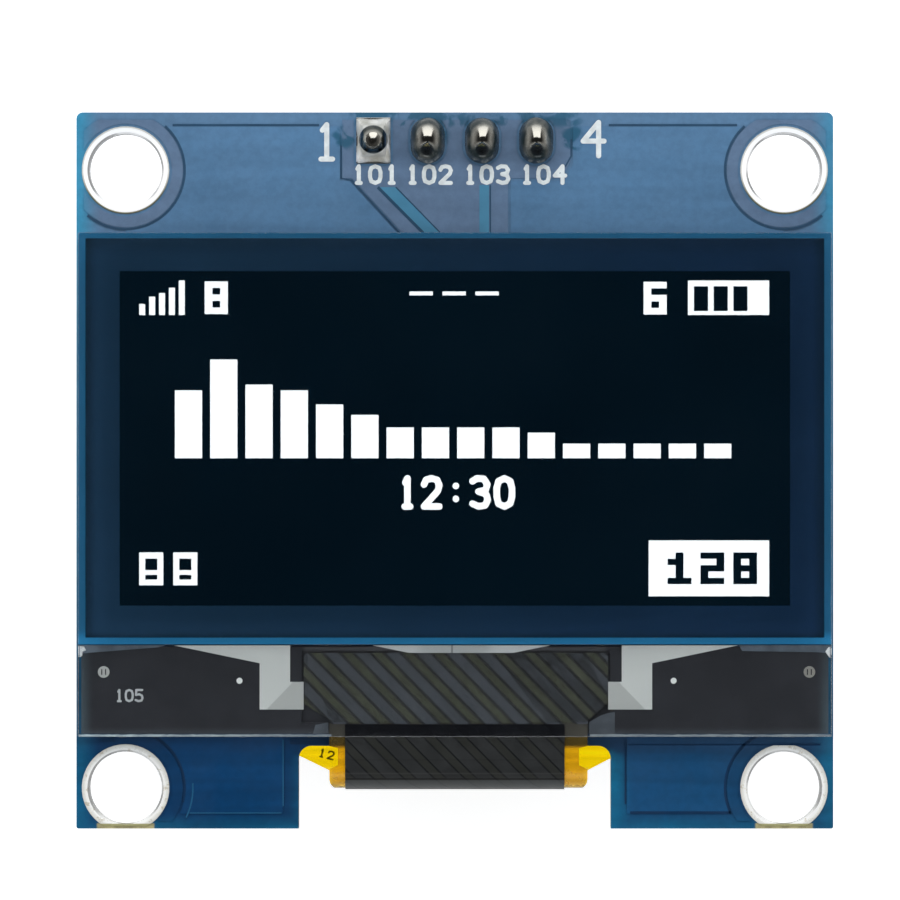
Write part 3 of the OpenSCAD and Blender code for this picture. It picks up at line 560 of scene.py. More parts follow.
def make_mask_tint():
    """Builds the solder mask's colour over the whole board, with painted light at its header end and
    edges.
    """
    black = (0, 0, 0, 1)
    tree, given, result = new_group(
        "mask_tint",
        [("Place", VECTOR, None)]
        + [(name, COLOUR, black) for name in ("Far Colour", "Near Left", "Near Right", "Far Glow",
                                              "Near Glow")]
        + [("Glow", NUMBER, 1.0)],
        [("Colour", COLOUR)])
    where = given["Place"]
    x, y = parts_of(tree, where)[:2]
    # Painted light: the mask is paler towards the header end, as if lit by the softbox beyond it.
    along = ramp_mm(tree, y, -13.0, 12.5)
    near = blend(tree, ramp_mm(tree, x, -15.0, 15.0), given["Near Left"], given["Near Right"])
    body = blend(tree, along, near, given["Far Colour"])

    # Painted light: a glow along the sides, the lower edge and the notch, as of light shining through
    # the thin laminate.
    side = size_of(tree, x)
    to_side = calc(tree, "SUBTRACT", BOARD_HIGH[0] * MM, side)
    to_notch = calc(tree, "ADD", apart(tree, side, NOTCH_X * MM),
                    ramp_mm(tree, y, NOTCH_Y - 0.4, NOTCH_Y + 1.8, 0.0, 4.0 * MM))
    to_notch = calc(tree, "ADD", to_notch, ramp_mm(tree, x, 4.0, -4.0, 0.0, 0.6 * MM))
    to_foot = calc(tree, "ADD", calc(tree, "SUBTRACT", y, BOARD_LOW[1] * MM), 0.4 * MM)
    to_edge = calc(tree, "MINIMUM", calc(tree, "MINIMUM", to_side, to_notch), to_foot)
    edge_glow = ramp_mm(tree, to_edge, 0.0, GLOW_WIDTH, 1.0, 0.0)
    patches = ramp(tree, speckle(tree, where, 260.0, 2.0), 0.35, 0.65, 0.6, 1.0)
    glow = product(tree, edge_glow, patches, given["Glow"])
    body = blend(tree, glow, body, blend(tree, along, given["Near Glow"], given["Far Glow"]))

    # Fine grain, broad clouds and long bands in the lacquer.
    fine = ramp(tree, speckle(tree, where, 2600.0, 4.0, 0.7), 0.3, 0.7, 0.93, 1.07)
    broad = ramp(tree, speckle(tree, where, 160.0, 2.0), 0.3, 0.7, 0.95, 1.05)
    bands = ramp(tree, speckle(tree, stretched(tree, where, (70.0, 1300.0, 1.0)), 1.0, 1.5),
                 0.34, 0.62, calc(tree, "ADD", 0.84, product(tree, along, 0.12)), 1.04)
    body = toned(tree, body, product(tree, fine, broad, bands))

    # Painted light: a paler band round the glass's lower edge, stronger to the right.
    below_glass = product(tree, ramp_mm(tree, y, GLASS_LOW[1] - 1.05, GLASS_LOW[1] - 0.45),
                          ramp_mm(tree, y, -10.0, -10.8))
    haze = product(tree, below_glass, ramp_mm(tree, x, -12.0, 12.0, 0.07, 0.13))
    body = blend(tree, haze, body, (0.075, 0.085, 0.130))

    # Flux dried in a strip above the pins and in spots beside them.
    first, last = PIN_PLACES[0], PIN_PLACES[-1]
    strip = product(tree, ramp_mm(tree, y, 16.25, 16.65),
                    product(tree, ramp_mm(tree, x, -5.2, -4.6), ramp_mm(tree, x, 6.2, 5.6)))
    blobs = 0.0
    for spot_x, spot_y, reach in ((first[0] - 1.35, first[1] + 0.2, FLUX_SPOT),
                                  (last[0] + 1.75, last[1] + 0.1, FLUX_SPOT),
                                  (PIN_PLACES[1][0], first[1] + 0.35, 1.25)):
        off = off_point(tree, where, spot_x, spot_y)
        blobs = calc(tree, "MAXIMUM", ramp_mm(tree, off, reach, reach * 0.55), blobs)
    wet = calc(tree, "MAXIMUM", product(tree, strip, 0.9), blobs)
    marks = ramp(tree, calc(tree, "ADD", speckle(tree, where, 1250.0, 3.0, 0.55, 0.6),
                            product(tree, wet, 0.18)), 0.60, 0.74)
    body = blend(tree, product(tree, marks, wet, 0.8), body, (0.010, 0.105, 0.190))
    tree.links.new(body, result["Colour"])


def new_material(name, colour, roughness=0.5, metallic=0.0, specular=0.5, coat=0.0,
                 coat_roughness=0.05):
    """A material with one Principled shader, and its node tree and shader."""
    material = bpy.data.materials.new(name)
    material.use_nodes = True
    material.diffuse_color = (*colour[:3], 1)
    tree = material.node_tree
    tree.nodes.clear()
    shader = add(tree, "ShaderNodeBsdfPrincipled", {
        "Base Color": (*colour[:3], 1), "Roughness": roughness, "Metallic": metallic,
        "Specular IOR Level": specular, "IOR": 1.5, "Coat Weight": coat,
        "Coat Roughness": coat_roughness})
    add(tree, "ShaderNodeOutputMaterial", {"Surface": shader.outputs[0]})
    return material, tree, shader


def feed(tree, shader, **sockets):
    """Links values to the shader's sockets; an underscore in a name stands for a space."""
    for key, value in sockets.items():
        tree.links.new(value, shader.inputs[key.replace("_", " ")])


def varied(tree, where, colour, scale, amount):
    """A colour that gets a little darker and lighter over the surface."""
    dark = [c * (1 - amount) for c in colour[:3]]
    light = [min(1.0, c * (1 + amount)) for c in colour[:3]]
    return blend(tree, ramp(tree, speckle(tree, where, scale), 0.3, 0.7), dark, light)


# How much rougher a grainy material's hazy places are; the clean ones are smoother by half of it.
HAZE = 0.12


def grainy_material(name, colour, roughness, metallic=0.0, grain=5000.0, depth=1e-6, vary=0.08,
                    vary_scale=900.0):
    """A material with colour variation, uneven gloss and fine relief."""
    material, tree, shader = new_material(name, colour, roughness, metallic)
    where = place(tree)
    feed(tree, shader,
         Base_Color=varied(tree, where, colour, vary_scale, vary),
         Roughness=gloss(tree, where, 420.0, max(0.02, roughness - HAZE / 2),
                         min(1.0, roughness + HAZE)),
         Normal=relief(tree, where, grain, depth, 0.6))
    return material


def clear_glass(name, tint):
    """Clear glass whose shadow is light, with a faint haze of wiping marks."""
    material, tree, shader = new_material(name, tint, 0.0)
    shader.inputs["Transmission Weight"].default_value = 1.0
    output = next(n for n in tree.nodes if n.bl_idname == "ShaderNodeOutputMaterial")
    feed(tree, shader, Roughness=gloss(tree, place(tree), 260.0, 0.0, 0.03))
    through = add(tree, "ShaderNodeBsdfTransparent", {"Color": (0.85, 0.85, 0.85, 1)})
    mix = add(tree, "ShaderNodeMixShader", {
        0: add(tree, "ShaderNodeLightPath").outputs["Is Shadow Ray"],
        1: shader.outputs[0], 2: through.outputs[0]})
    tree.links.new(mix.outputs[0], output.inputs["Surface"])
    return material


# ---------------------------------------------------------------- what a user may change


RGB = {"size": 3, "min": 0, "max": 1}


class BoardLook(bpy.types.PropertyGroup):
    """The circuit board's colours and printed lines."""

    # The mask's colours are paler at the header end: painted light from the softbox beyond the header.
    far_colour: FloatVectorProperty(
        name="Header end", description="Solder mask colour at the header end of the board",
        default=(0.108, 0.222, 0.378), subtype="COLOR", **RGB)
    near_left: FloatVectorProperty(
        name="Flex end, left", description="Solder mask colour at the left of the notched end",
        default=(0.0006, 0.044, 0.138), subtype="COLOR", **RGB)
    near_right: FloatVectorProperty(
        name="Flex end, right", description="Solder mask colour at the right of the notched end",
        default=(0.006, 0.060, 0.155), subtype="COLOR", **RGB)
    # The edge glow is painted light shining through the thin laminate near the board's edges.
    far_glow: FloatVectorProperty(
        name="Edge glow, header end", description="Colour near the board's edges at the header end",
        default=(0.045, 0.310, 0.520), subtype="COLOR", **RGB)
    near_glow: FloatVectorProperty(
        name="Edge glow, flex end", description="Colour near the board's edges at the notched end",
        default=(0.003, 0.150, 0.290), subtype="COLOR", **RGB)
    copper_far: FloatVectorProperty(
        name="Copper, header end", description="Solder mask over copper at the header end",
        default=(0.092, 0.211, 0.376), subtype="COLOR", **RGB)
    ground_far: FloatVectorProperty(
        name="Header copper", description="Solder mask over the copper round the header",
        default=(0.125, 0.205, 0.335), subtype="COLOR", **RGB)
    laminate: FloatVectorProperty(
        name="Laminate", description="Bare glass fibre laminate",
        default=(0.42, 0.38, 0.20), subtype="COLOR", **RGB)
    ink: FloatVectorProperty(
        name="Ink", description="Printed marks on the board",
        default=(0.80, 0.86, 0.88), subtype="COLOR", **RGB)
    line_w: FloatProperty(
        name="Line width", description="Width of the lines where the mask dips at a copper edge (mm)",
        min=0.02, max=0.3, default=0.10)
    ink_t: FloatProperty(
        name="Ink thickness", description="Thickness of the printed marks (mm)",
        min=0.005, max=0.05, default=0.015)


class ScreenLook(bpy.types.PropertyGroup):
    """The glass panel and the picture that it shows."""

    edge_round: FloatProperty(
        name="Glass edge", description="Ground edge of the glass sheets (mm)",
        min=0.0, max=0.2, default=0.07)
    tint: FloatVectorProperty(
        name="Polariser", description="Colour of the polariser film",
        default=(0.0012, 0.0085, 0.0165), subtype="COLOR", **RGB)
    cover: FloatProperty(
        name="Polariser density", description="Share of the light that the polariser holds back",
        subtype="FACTOR", min=0, max=1, default=0.5)
    border: FloatVectorProperty(
        name="Border", description="Colour of the border round the lit area",
        default=(0.095, 0.250, 0.640), subtype="COLOR", **RGB)
    # The rim is painted light: the board's blue glowing in the glass's edges.
    rim: FloatVectorProperty(
        name="Rim", description="Colour at the glass beside the polariser",
        default=(0.012, 0.165, 0.340), subtype="COLOR", **RGB)
    lit: FloatProperty(
        name="Lit level", description="Brightness of the lit picture elements",
        min=0, max=10, default=4.7)


class FlexLook(bpy.types.PropertyGroup):
    """The folded flex."""

    film: FloatVectorProperty(
        name="Film", description="Colour of the amber film",
        default=(0.84, 0.565, 0.018), subtype="COLOR", **RGB)
    # The tail's brighter yellow is painted light, as of light shining through the film from behind.
    wing: FloatVectorProperty(
        name="Tail film", description="Colour of the film behind the board",
        default=(1.0, 0.70, 0.0), subtype="COLOR", **RGB)
    clear: FloatProperty(
        name="Film clearness", description="Share of the light that passes through the film",
        subtype="FACTOR", min=0, max=1, default=0.85)
    cover: FloatVectorProperty(
        name="Covering", description="Colour of the black covering over the fold",
        default=(0.026, 0.028, 0.029), subtype="COLOR", **RGB)
    stripe: FloatVectorProperty(
        name="Stripes", description="Colour of the shield's stripes",
        default=(0.068, 0.074, 0.092), subtype="COLOR", **RGB)


class MetalLook(bpy.types.PropertyGroup):
    """Solder, plating and pins."""

    solder: FloatVectorProperty(
        name="Solder", description="Colour of the solder",
        default=(0.60, 0.58, 0.52), subtype="COLOR", **RGB)
    joint_h: FloatProperty(
        name="Joint height", description="Height of a solder joint over the pin's tip (mm)",
        min=0.0, max=0.3, default=0.10)
    joint_steps: IntProperty(
        name="Joint segments", description="Segments round a solder joint",
        min=16, max=96, default=56)


class StageLook(bpy.types.PropertyGroup):
    """Floor, lamps and camera."""

    floor_drop: FloatProperty(
        name="Floor drop", description="How far the floor lies below the pins",
        unit="LENGTH", min=0, max=0.05, default=0.0002)
    distance: FloatProperty(
        name="Camera distance", description="Distance from the board's front to the camera",
        unit="LENGTH", min=0.1, max=2, default=0.35)
    frame_w: FloatProperty(
        name="Frame width", description="Width that the camera sees at the board's front",
        unit="LENGTH", min=0.01, max=0.2, default=0.0421)
    fill: FloatProperty(
        name="Surround", description="Level of the even light from all round",
        min=0, max=2, default=0.33)
    key: FloatProperty(
        name="Key lamp", description="Power of the softbox beyond the header (W)",
        min=0, max=20, default=1.05)


LOOKS = (("dm_board", BoardLook), ("dm_screen", ScreenLook), ("dm_flex", FlexLook),
         ("dm_metal", MetalLook), ("dm_stage", StageLook))


# ---------------------------------------------------------------- board


def mask_material(name, look, far, lift, glow_level):
    """Glossy solder mask over laminate or copper, with painted light: paler towards the header end."""
    material, tree, shader = new_material(name, far, 0.35, specular=0.45, coat=0.25,
                                          coat_roughness=0.12)
    where = place(tree)
    near_left, near_right = [[c * lift for c in side] for side in (look.near_left, look.near_right)]
    colour = use(tree, "mask_tint", {
        "Place": where, "Far Colour": (*far, 1), "Near Left": (*near_left, 1),
        "Near Right": (*near_right, 1), "Far Glow": (*look.far_glow, 1),
        "Near Glow": (*look.near_glow, 1), "Glow": glow_level})
    feed(tree, shader, Base_Color=colour,
         Roughness=gloss(tree, where, 300.0, 0.28, 0.46),
         Normal=use(tree, "glass_weave", {"Place": where}))
    return material, tree, shader, colour, where


class DM_OT_board(bpy.types.Operator):
    """Dress the circuit board, its masked copper and its printed marks"""

    bl_idname = "display_module.board"
    bl_label = "Circuit Board"

    def execute(self, context):
        look = context.scene.dm_board
        bare, tree, shader, colour, where = mask_material(
            "mask_over_laminate", look, look.far_colour, 1.0, 1.0)
        up = parts_of(tree, facing(tree))[2]
        wall = ramp(tree, size_of(tree, up), 0.85, 0.6)
        # Bare laminate at the lower edge too, in line with the near holes.
        x, y = parts_of(tree, where)[:2]
        to_hole = apart(tree, size_of(tree, x), HOLE_X * MM)
        etched = product(tree, ramp_mm(tree, to_hole, 1.40, 1.28),
                         ramp_mm(tree, y, BOARD_LOW[1] + 0.28, BOARD_LOW[1] + 0.22))
        speck = speckle(tree, stretched(tree, where, (2600.0, 2600.0, 9000.0)), 1.0, 5.0, 0.6)
        laminate = blend(tree, ramp(tree, speck, 0.35, 0.65), [c * 0.78 for c in look.laminate],
                         [c * 1.18 for c in look.laminate])
        colour = blend(tree, calc(tree, "MAXIMUM", wall, etched), colour, laminate)
        feed(tree, shader, Base_Color=colour)
        dress("circuit_board", bare)

        ground, *_ = mask_material("mask_over_ground", look, look.ground_far, 1.0, 0.8)
        fill, *_ = mask_material("mask_over_fill", look, look.copper_far, 1.22, 0.55)
        dress("front_copper_ground", ground)
        dress("front_copper_fill", fill)
        self.lines(look)
        self.tracks()
        self.marks(look)
        return {"FINISHED"}

    def lines(self, look):
        """Thin dark lines of painted shade where the mask dips at the copper's edges."""
        dark = grainy_material("mask_edge_shade_line", (0.022, 0.075, 0.150), 0.4)
        faint = grainy_material("mask_edge_shade_line_near", (0.002, 0.030, 0.092), 0.4)
        # The radius round each hole, where the long lines at the upper and lower edge run, and how
        # far all of them stand proud.
        ring, top, foot, rise = 2.77, 16.55, -15.60, 0.045
        width = look.line_w
        new_ribbons(
            "copper_edge_shade_lines", dark, rise,
            (arc(-HOLE_X, HOLE_Y, ring, 230, 408, 48), width),
            (arc(HOLE_X, HOLE_Y, ring, 132, 310, 48), width),
            ([(-13.2, top), (-6.35, top)], width * 1.1),
            ([(7.20, top), (13.2, top)], width * 1.1),
            ([(-5.32, 15.6), (-5.32, 14.07), (-4.84, 13.98), (-2.62, 11.55)], width * 0.7),
            ([(5.44, 15.9), (5.44, 15.1), (5.16, 14.6)], width * 0.7))
        new_ribbons(
            "copper_edge_shade_lines_near", faint, rise,
            (arc(-HOLE_X, -HOLE_Y, ring, -14, 84, 40), width),
            (arc(HOLE_X, -HOLE_Y, ring, 96, 206, 40), width),
            ([(8.2, foot), (12.9, foot)], width * 1.2),
            ([(7.98, -12.3), (7.98, -15.2)], width * 0.6),
            ([(8.1, -12.42), (17.1, -12.42)], width * 0.8),
            ([(-16.6, -12.2), (-15.9, -12.2)], width * 2.0),
            ([(-7.7, -12.28), (-5.9, -12.28)], width * 2.6))

    def tracks(self):
        """Lighter copper tracks between the header and the panel and at the notched end; painted shade
        lines along the edges of the first two.
        """
        teal = grainy_material("mask_over_track", (0.066, 0.245, 0.400), 0.35)
        edge = grainy_material("mask_track_edge_shade", (0.018, 0.070, 0.140), 0.4)
        light = grainy_material("mask_track_near", (0.012, 0.105, 0.225), 0.35)
        rise, panel_y = 0.05, 11.5
        bm = bmesh.new()
        for outline in ([(-3.50, 13.65), (-1.38, panel_y), (-0.70, panel_y), (-2.80, 13.65)],
                        [(1.15, 13.75), (1.15, panel_y), (1.60, panel_y), (1.60, 13.75)]):
            add_plate(bm, outline, BOARD_FRONT, BOARD_FRONT + rise)
        new_piece("tracks", bm, teal, "blue_laminate")
        new_ribbons(
            "track_edge_shades", edge, rise,
            ([(-3.60, 13.65), (-1.47, panel_y)], 0.14),
            ([(-2.76, 13.65), (-0.66, panel_y)], 0.06),
            ([(1.66, 13.75), (1.66, panel_y)], 0.06))
        new_ribbons(
            "tracks_near", light, rise,
            ([(-8.03, -12.2), (-8.03, -15.3)], 0.06),
            (arc(-HOLE_X, -HOLE_Y, 3.15, -26, 4, 16), 0.07),
            ([(-12.4, -15.62), (-8.1, -15.62)], 0.05))

    def marks(self, look):
        """White ink: plain numbers at the header's ends and below each pin."""
        ink = grainy_material("white_ink", look.ink, 0.55, grain=9000.0, depth=2e-6, vary=0.10,
                              vary_scale=2600.0)
        low = BOARD_FRONT + 0.04
        high = low + look.ink_t
        shifts = (0.09, 0.07, 0.22, 0.34)
        bm = bmesh.new()
        first, last = PIN_PLACES[0][0], PIN_PLACES[-1][0]
        add_pen_digits(bm, "1", first - 2.18, 15.77, low, high, 1.85, 1.42, 1.4, 0.24)
        add_pen_digits(bm, "4", last + 2.68, 15.90, low, high, 1.80, 1.22, 1.4, 0.24)
        for i, (x, _) in enumerate(PIN_PLACES):
            add_pen_digits(bm, "%d" % (101 + i), x + shifts[i % len(shifts)], 14.24, low, high,
                           0.97, 0.68, 0.77, 0.19)
        new_piece("printed_numbers", bm, ink, "blue_laminate")


class DM_OT_plating(bpy.types.Operator):
    """Dress the rings round the mounting holes and the bare pads"""

    bl_idname = "display_module.plating"
    bl_label = "Plating and Pads"

    def execute(self, context):
        ring, tree, shader = new_material("bright_tin_ring", (0.93, 0.93, 0.91), 0.28, 0.1)
        where = place(tree)
        x, y = parts_of(tree, where)[:2]
        near = ramp_mm(tree, y, -10.0, 10.0, 1.0, 0.0)
        specks = product(tree, ramp(tree, speckle(tree, where, 2600.0, 4.0, 0.7), 0.56, 0.68), 0.6)
        colour = blend(tree, near, (1.0, 1.0, 1.0), (0.98, 0.98, 0.96))
        colour = blend(tree, product(tree, near, specks), colour, (0.46, 0.38, 0.24))

        # off_x and off_y point outward from the nearest hole, and around points up the board.
        off_x = calc(tree, "SUBTRACT", size_of(tree, x), HOLE_X * MM)
        off_y = calc(tree, "SUBTRACT", size_of(tree, y), HOLE_Y * MM)
        around = product(tree, off_y, calc(tree, "SIGN", y))
        radius = calc(tree, "SQRT", calc(tree, "ADD", product(tree, off_x, off_x),
                                         product(tree, off_y, off_y)))
        shadow = ramp_mm(tree, around, 0.2, 1.8)
        colour = blend(tree, product(tree, shadow, 0.18), colour, (0.30, 0.38, 0.48))

        # The rim where the plating meets the board, deepened by painted shade on the lower side of the
        # rings at the header end, and the hole's lip, a dark line of painted shade from the bore's wall
        # on all but each ring's lower side.
        rim = ramp_mm(tree, radius, RING_R - 0.12, RING_R - 0.03)
        wide_rim = ramp_mm(tree, radius, RING_R - 0.30, RING_R - 0.06, 0.0, 0.8)
        rim = calc(tree, "MAXIMUM", rim, product(tree, near, wide_rim))
        beneath = ramp_mm(tree, calc(tree, "SUBTRACT", around, product(tree, near, -4.0 * MM)),
                          0.0, -1.4, 0.45, 1.0)
        colour = blend(tree, product(tree, rim, beneath), colour, (0.16, 0.155, 0.085))
        lip = product(tree, ramp_mm(tree, radius, HOLE_R + 0.11, HOLE_R + 0.06),
                      ramp(tree, speckle(tree, where, 500.0, 2.0), 0.35, 0.55, 0.35, 1.0))
        lip = product(tree, lip, ramp_mm(tree, around, -1.6, -0.8))
        colour = blend(tree, product(tree, lip, 0.8), colour, (0.16, 0.16, 0.16))

        bare = ramp_mm(tree, y, BOARD_LOW[1] + 0.26, BOARD_LOW[1] + 0.20)
        colour = blend(tree, bare, colour, (0.44, 0.42, 0.20))
        # Painted light: the tin glows a little, as if it caught the lamps, more on the rings at the
        # header end; the bare laminate at the edge does not glow.
        shader.inputs["Emission Strength"].default_value = 0.34
        glow = blend(tree, near, colour, [0.66] * 3)
        feed(tree, shader, Base_Color=colour,
             Emission_Color=blend(tree, bare, blend(tree, 1.0, colour, glow, "MULTIPLY"), (0, 0, 0)),
             Roughness=gloss(tree, where, 900.0, 0.18, 0.42),
             Normal=relief(tree, where, 1500.0, 6e-6, 0.8))
        softened("mounting_hole_plating", 0.09, ring, segments=4, angle=60)

        pad = grainy_material("tinned_copper", (0.78, 0.77, 0.72), 0.25, 1.0, grain=2500.0,
                              depth=4e-6, vary=0.12)
        for name in ("header_pads", "flex_pads", "chip_pads"):
            softened(name, 0.012, pad, segments=2, angle=50)
        return {"FINISHED"}


# ---------------------------------------------------------------- header


class DM_OT_solder(bpy.types.Operator):
    """Model the solder joints on the header's pins"""

    bl_idname = "display_module.solder_joints"
    bl_label = "Solder Joints"

    DOME = ((0.80, 0.00), (0.805, 0.03), (0.80, 0.20), (0.78, 0.42), (0.735, 0.66), (0.66, 0.88),
            (0.55, 1.07), (0.41, 1.22), (0.26, 1.315), (0.12, 1.36), (0.0, 1.37))
    STAR = ((0.80, 0.00), (0.80, 0.025), (0.765, 0.06), (0.72, 0.10), (0.68, 0.20), (0.655, 0.40),
            (0.625, 0.66), (0.57, 0.90), (0.475, 1.11), (0.34, 1.26), (0.17, 1.35), (0.0, 1.375))
    # The profiles and the pads share this radius; the joints stand on pads of this thickness.
    PAD_R, PAD_T = 0.8, 0.04

    def execute(self, context):
        look = context.scene.dm_metal
        metal, *_ = self.metal("bright_solder", look)
        skirted, tree, shader, colour, where = self.metal("bright_solder_skirt", look)
        first = PIN_PLACES[0]
        far = off_point(tree, where, first[0], first[1] + 0.02)
        skirt = ramp_mm(tree, far, 0.63, 0.69)
        pale = varied(tree, where, (0.84, 0.82, 0.73), 1300.0, 0.35)
        # Painted shade: the skirt grows darker towards its upper side.
        upper = ramp_mm(tree, parts_of(tree, where)[1], first[1] - 0.1, first[1] + 0.5, 0.0, 0.45)
        pale = blend(tree, upper, pale, (0.36, 0.38, 0.36))
        feed(tree, shader, Base_Color=blend(tree, skirt, colour, pale),
             Metallic=calc(tree, "SUBTRACT", 1.0, product(tree, skirt, 0.9)),
             Roughness=ramp_mm(tree, far, 0.63, 0.69, 0.16, 0.42))
        for number, (x, y) in enumerate(PIN_PLACES, 1):
            if number == 1:
                self.star(number, x, y, look, skirted)
            else:
                self.dome(number, x, y, look, metal)
        return {"FINISHED"}

    def metal(self, name, look):
        """Bright solder, darker and less metallic everywhere but at the top, with painted shade in the
        domes' dimples.
        """
        material, tree, shader = new_material(name, look.solder, 0.12, 1.0)
        where = place(tree)
        z = parts_of(tree, where)[2]
        # Darker and less metallic, a little patchily, everywhere below the top.
        patchy_darkening = ramp(tree, speckle(tree, where, 1500.0, 3.0), 0.30, 0.60, 0.84, 1.0)
        film = product(tree, ramp_mm(tree, z, BOARD_FRONT + 1.36, BOARD_FRONT + 1.00), patchy_darkening)
        colour = blend(tree, film, look.solder, (0.018, 0.030, 0.034))
        # Painted shade in the dimple on each dome's near side.
        pit = 0.0
        for number, (pin_x, pin_y) in enumerate(PIN_PLACES[1:], 2):
            off = off_point(tree, where, pin_x + self.dimple_x(number), pin_y - 0.46, 1.1)
            pit = calc(tree, "MAXIMUM", ramp_mm(tree, off, 0.34, 0.24), pit)
        colour = blend(tree, product(tree, pit, 0.82), colour, (0.020, 0.024, 0.030))
        feed(tree, shader, Base_Color=colour,
             Metallic=calc(tree, "SUBTRACT", 1.0, product(tree, film, 0.80)),
             Roughness=calc(tree, "ADD", gloss(tree, where, 1800.0, 0.08, 0.24),
                            product(tree, film, 0.14)),
             Normal=relief(tree, where, 1600.0, 1.2e-5, 0.35))
        return material, tree, shader, colour, where

    def dimple_x(self, number):
        """How far to the right of its pin a joint's dimple lies, in millimetres."""
        return 0.03 * (number - 3)

    def lathe(self, profile, steps):
        """A solid of revolution round Z from a profile in millimetres."""
        bm = bmesh.new()
        verts = [bm.verts.new((r * MM, 0, z * MM)) for r, z in profile]
        edges = [bm.edges.new((a, b)) for a, b in zip(verts, verts[1:])]
        bmesh.ops.spin(bm, geom=verts + edges, cent=(0, 0, 0), axis=(0, 0, 1),
                       angle=math.tau, steps=steps, use_merge=True)
        bmesh.ops.remove_doubles(bm, verts=bm.verts[:], dist=MERGE_DISTANCE)
        rim = [e for e in bm.edges if len(e.link_faces) == 1]
        if rim:
            bmesh.ops.holes_fill(bm, edges=rim)
        return bm

    def stretch_up(self, profile, look):
        """How much taller than its profile a joint has to be to cover its pin."""
        return (PIN_TOP + look.joint_h - BOARD_FRONT - self.PAD_T) / profile[-1][1]

    def blank(self, profile, look, longest):
        """A turned joint in which edges longer than a length in millimetres are cut in two."""
        bm = self.lathe(profile, look.joint_steps)
        long = [e for e in bm.edges if e.calc_length() > longest * MM]
        bmesh.ops.subdivide_edges(bm, edges=long, cuts=1, use_grid_fill=True)
        return bm

    def set_down(self, kind, number, x, y, bm, material):
        """Sets a joint on its pad."""
        bmesh.ops.translate(bm, vec=(x * MM, y * MM, (BOARD_FRONT + self.PAD_T) * MM),
                            verts=bm.verts)
        new_piece("solder_%s_%d" % (kind, number), bm, material, "solder",
                  "solder_joint_%d" % number)

    def dome(self, number, x, y, look, material):
        """A tall joint that covers a round-ended pad, with a dimple on its near side."""
        stretch = (PADS_HIGH[1] - PADS_LOW[1]) / 2 - self.PAD_R
        taller = self.stretch_up(self.DOME, look)
        bm = self.blank(self.DOME, look, 0.14)
        dimple = Vector((self.dimple_x(number), -0.50, 0)) * MM
        for v in bm.verts:
            r = math.hypot(v.co.x, v.co.y) / (self.PAD_R * MM)
            if r > 0.02:
                side = math.copysign(min(1.0, abs(v.co.y) / (0.30 * MM)), v.co.y)
                v.co.y += side * stretch * MM * min(1.0, r)
            v.co.z *= taller
            near = math.hypot(v.co.x - dimple.x, (v.co.y - dimple.y) * 1.35) / (0.30 * MM)
            push = math.exp(-near * near)
            v.co.z -= push * 0.62 * MM * min(1.0, v.co.z / (0.3 * MM))
            rise = min(1.0, v.co.z / (0.4 * MM))
            spot = Vector((v.co.x * 1500 + number * 7.3, v.co.y * 1500, v.co.z * 900))
            wobble = noise.noise(spot)
            v.co.x *= 1 + 0.05 * wobble * rise
            v.co.y *= 1 + 0.04 * wobble * rise
            v.co.z += 0.03 * MM * wobble * rise
        bmesh.ops.smooth_vert(bm, verts=[v for v in bm.verts if v.co.z > 0.1 * MM], factor=0.5,
                              use_axis_x=True, use_axis_y=True, use_axis_z=True)
        self.set_down("dome", number, x, y, bm, material)

    def star(self, number, x, y, look, material):
        """A joint drawn out into the corners of a square-ended pad, round a dome in the middle."""
        half = (PADS_HIGH[1] - PADS_LOW[1]) / 2
        taller = self.stretch_up(self.STAR, look)
        bm = self.blank(self.STAR, look, 0.10)
        for v in bm.verts:
            r = math.hypot(v.co.x, v.co.y) / (self.PAD_R * MM)
            if r > 0.02:
                turn = math.atan2(v.co.y, v.co.x)
                reach_x = self.PAD_R / max(0.001, abs(math.cos(turn)))
                reach_y = half / max(0.001, abs(math.sin(turn)))
                edge = min(reach_x, reach_y) / self.PAD_R
                corner = max(0.0, abs(math.sin(2 * turn)) - 0.45) / 0.55
                waist = 1 - 0.08 * (1 - corner)
                foot = max(0.0, min(1.0, (r - 0.62) / 0.36))
                out = 1 + (edge * waist - 1) * foot
                v.co.x *= out
                v.co.y *= out
                if r < 0.985:
                    ridge = math.exp(-((r - 0.90) / 0.10) ** 2)
                    v.co.z += ridge * (0.06 + 0.26 * corner) * MM
            v.co.z *= taller if v.co.z > 0.3 * MM else 1
            wobble = noise.noise(Vector((v.co.x * 1500 + 3.1, v.co.y * 1500, 0.4)))
            v.co.z += 0.03 * MM * wobble * min(1.0, v.co.z / (0.3 * MM))
        self.set_down("star", number, x, y, bm, material)


class DM_OT_header(bpy.types.Operator):
    """Finish the header's housing and pins"""

    bl_idname = "display_module.header"
    bl_label = "Pin Header"

    def execute(self, context):
        plastic = grainy_material("moulded_housing", (0.012, 0.012, 0.014), 0.45, grain=3500.0,
                                  depth=5e-6, vary=0.25)
        gold = grainy_material("gold_flash", (0.86, 0.66, 0.30), 0.22, 1.0, grain=2600.0,
                               depth=1.5e-6, vary=0.06)
        softened("header_housing", 0.07, plastic, segments=3, angle=30)
        for number in range(1, PIN_COUNT + 1):
            softened("header_pin_%d" % number, 0.03, gold, segments=2, angle=30)
        return {"FINISHED"}


# ---------------------------------------------------------------- glass panel


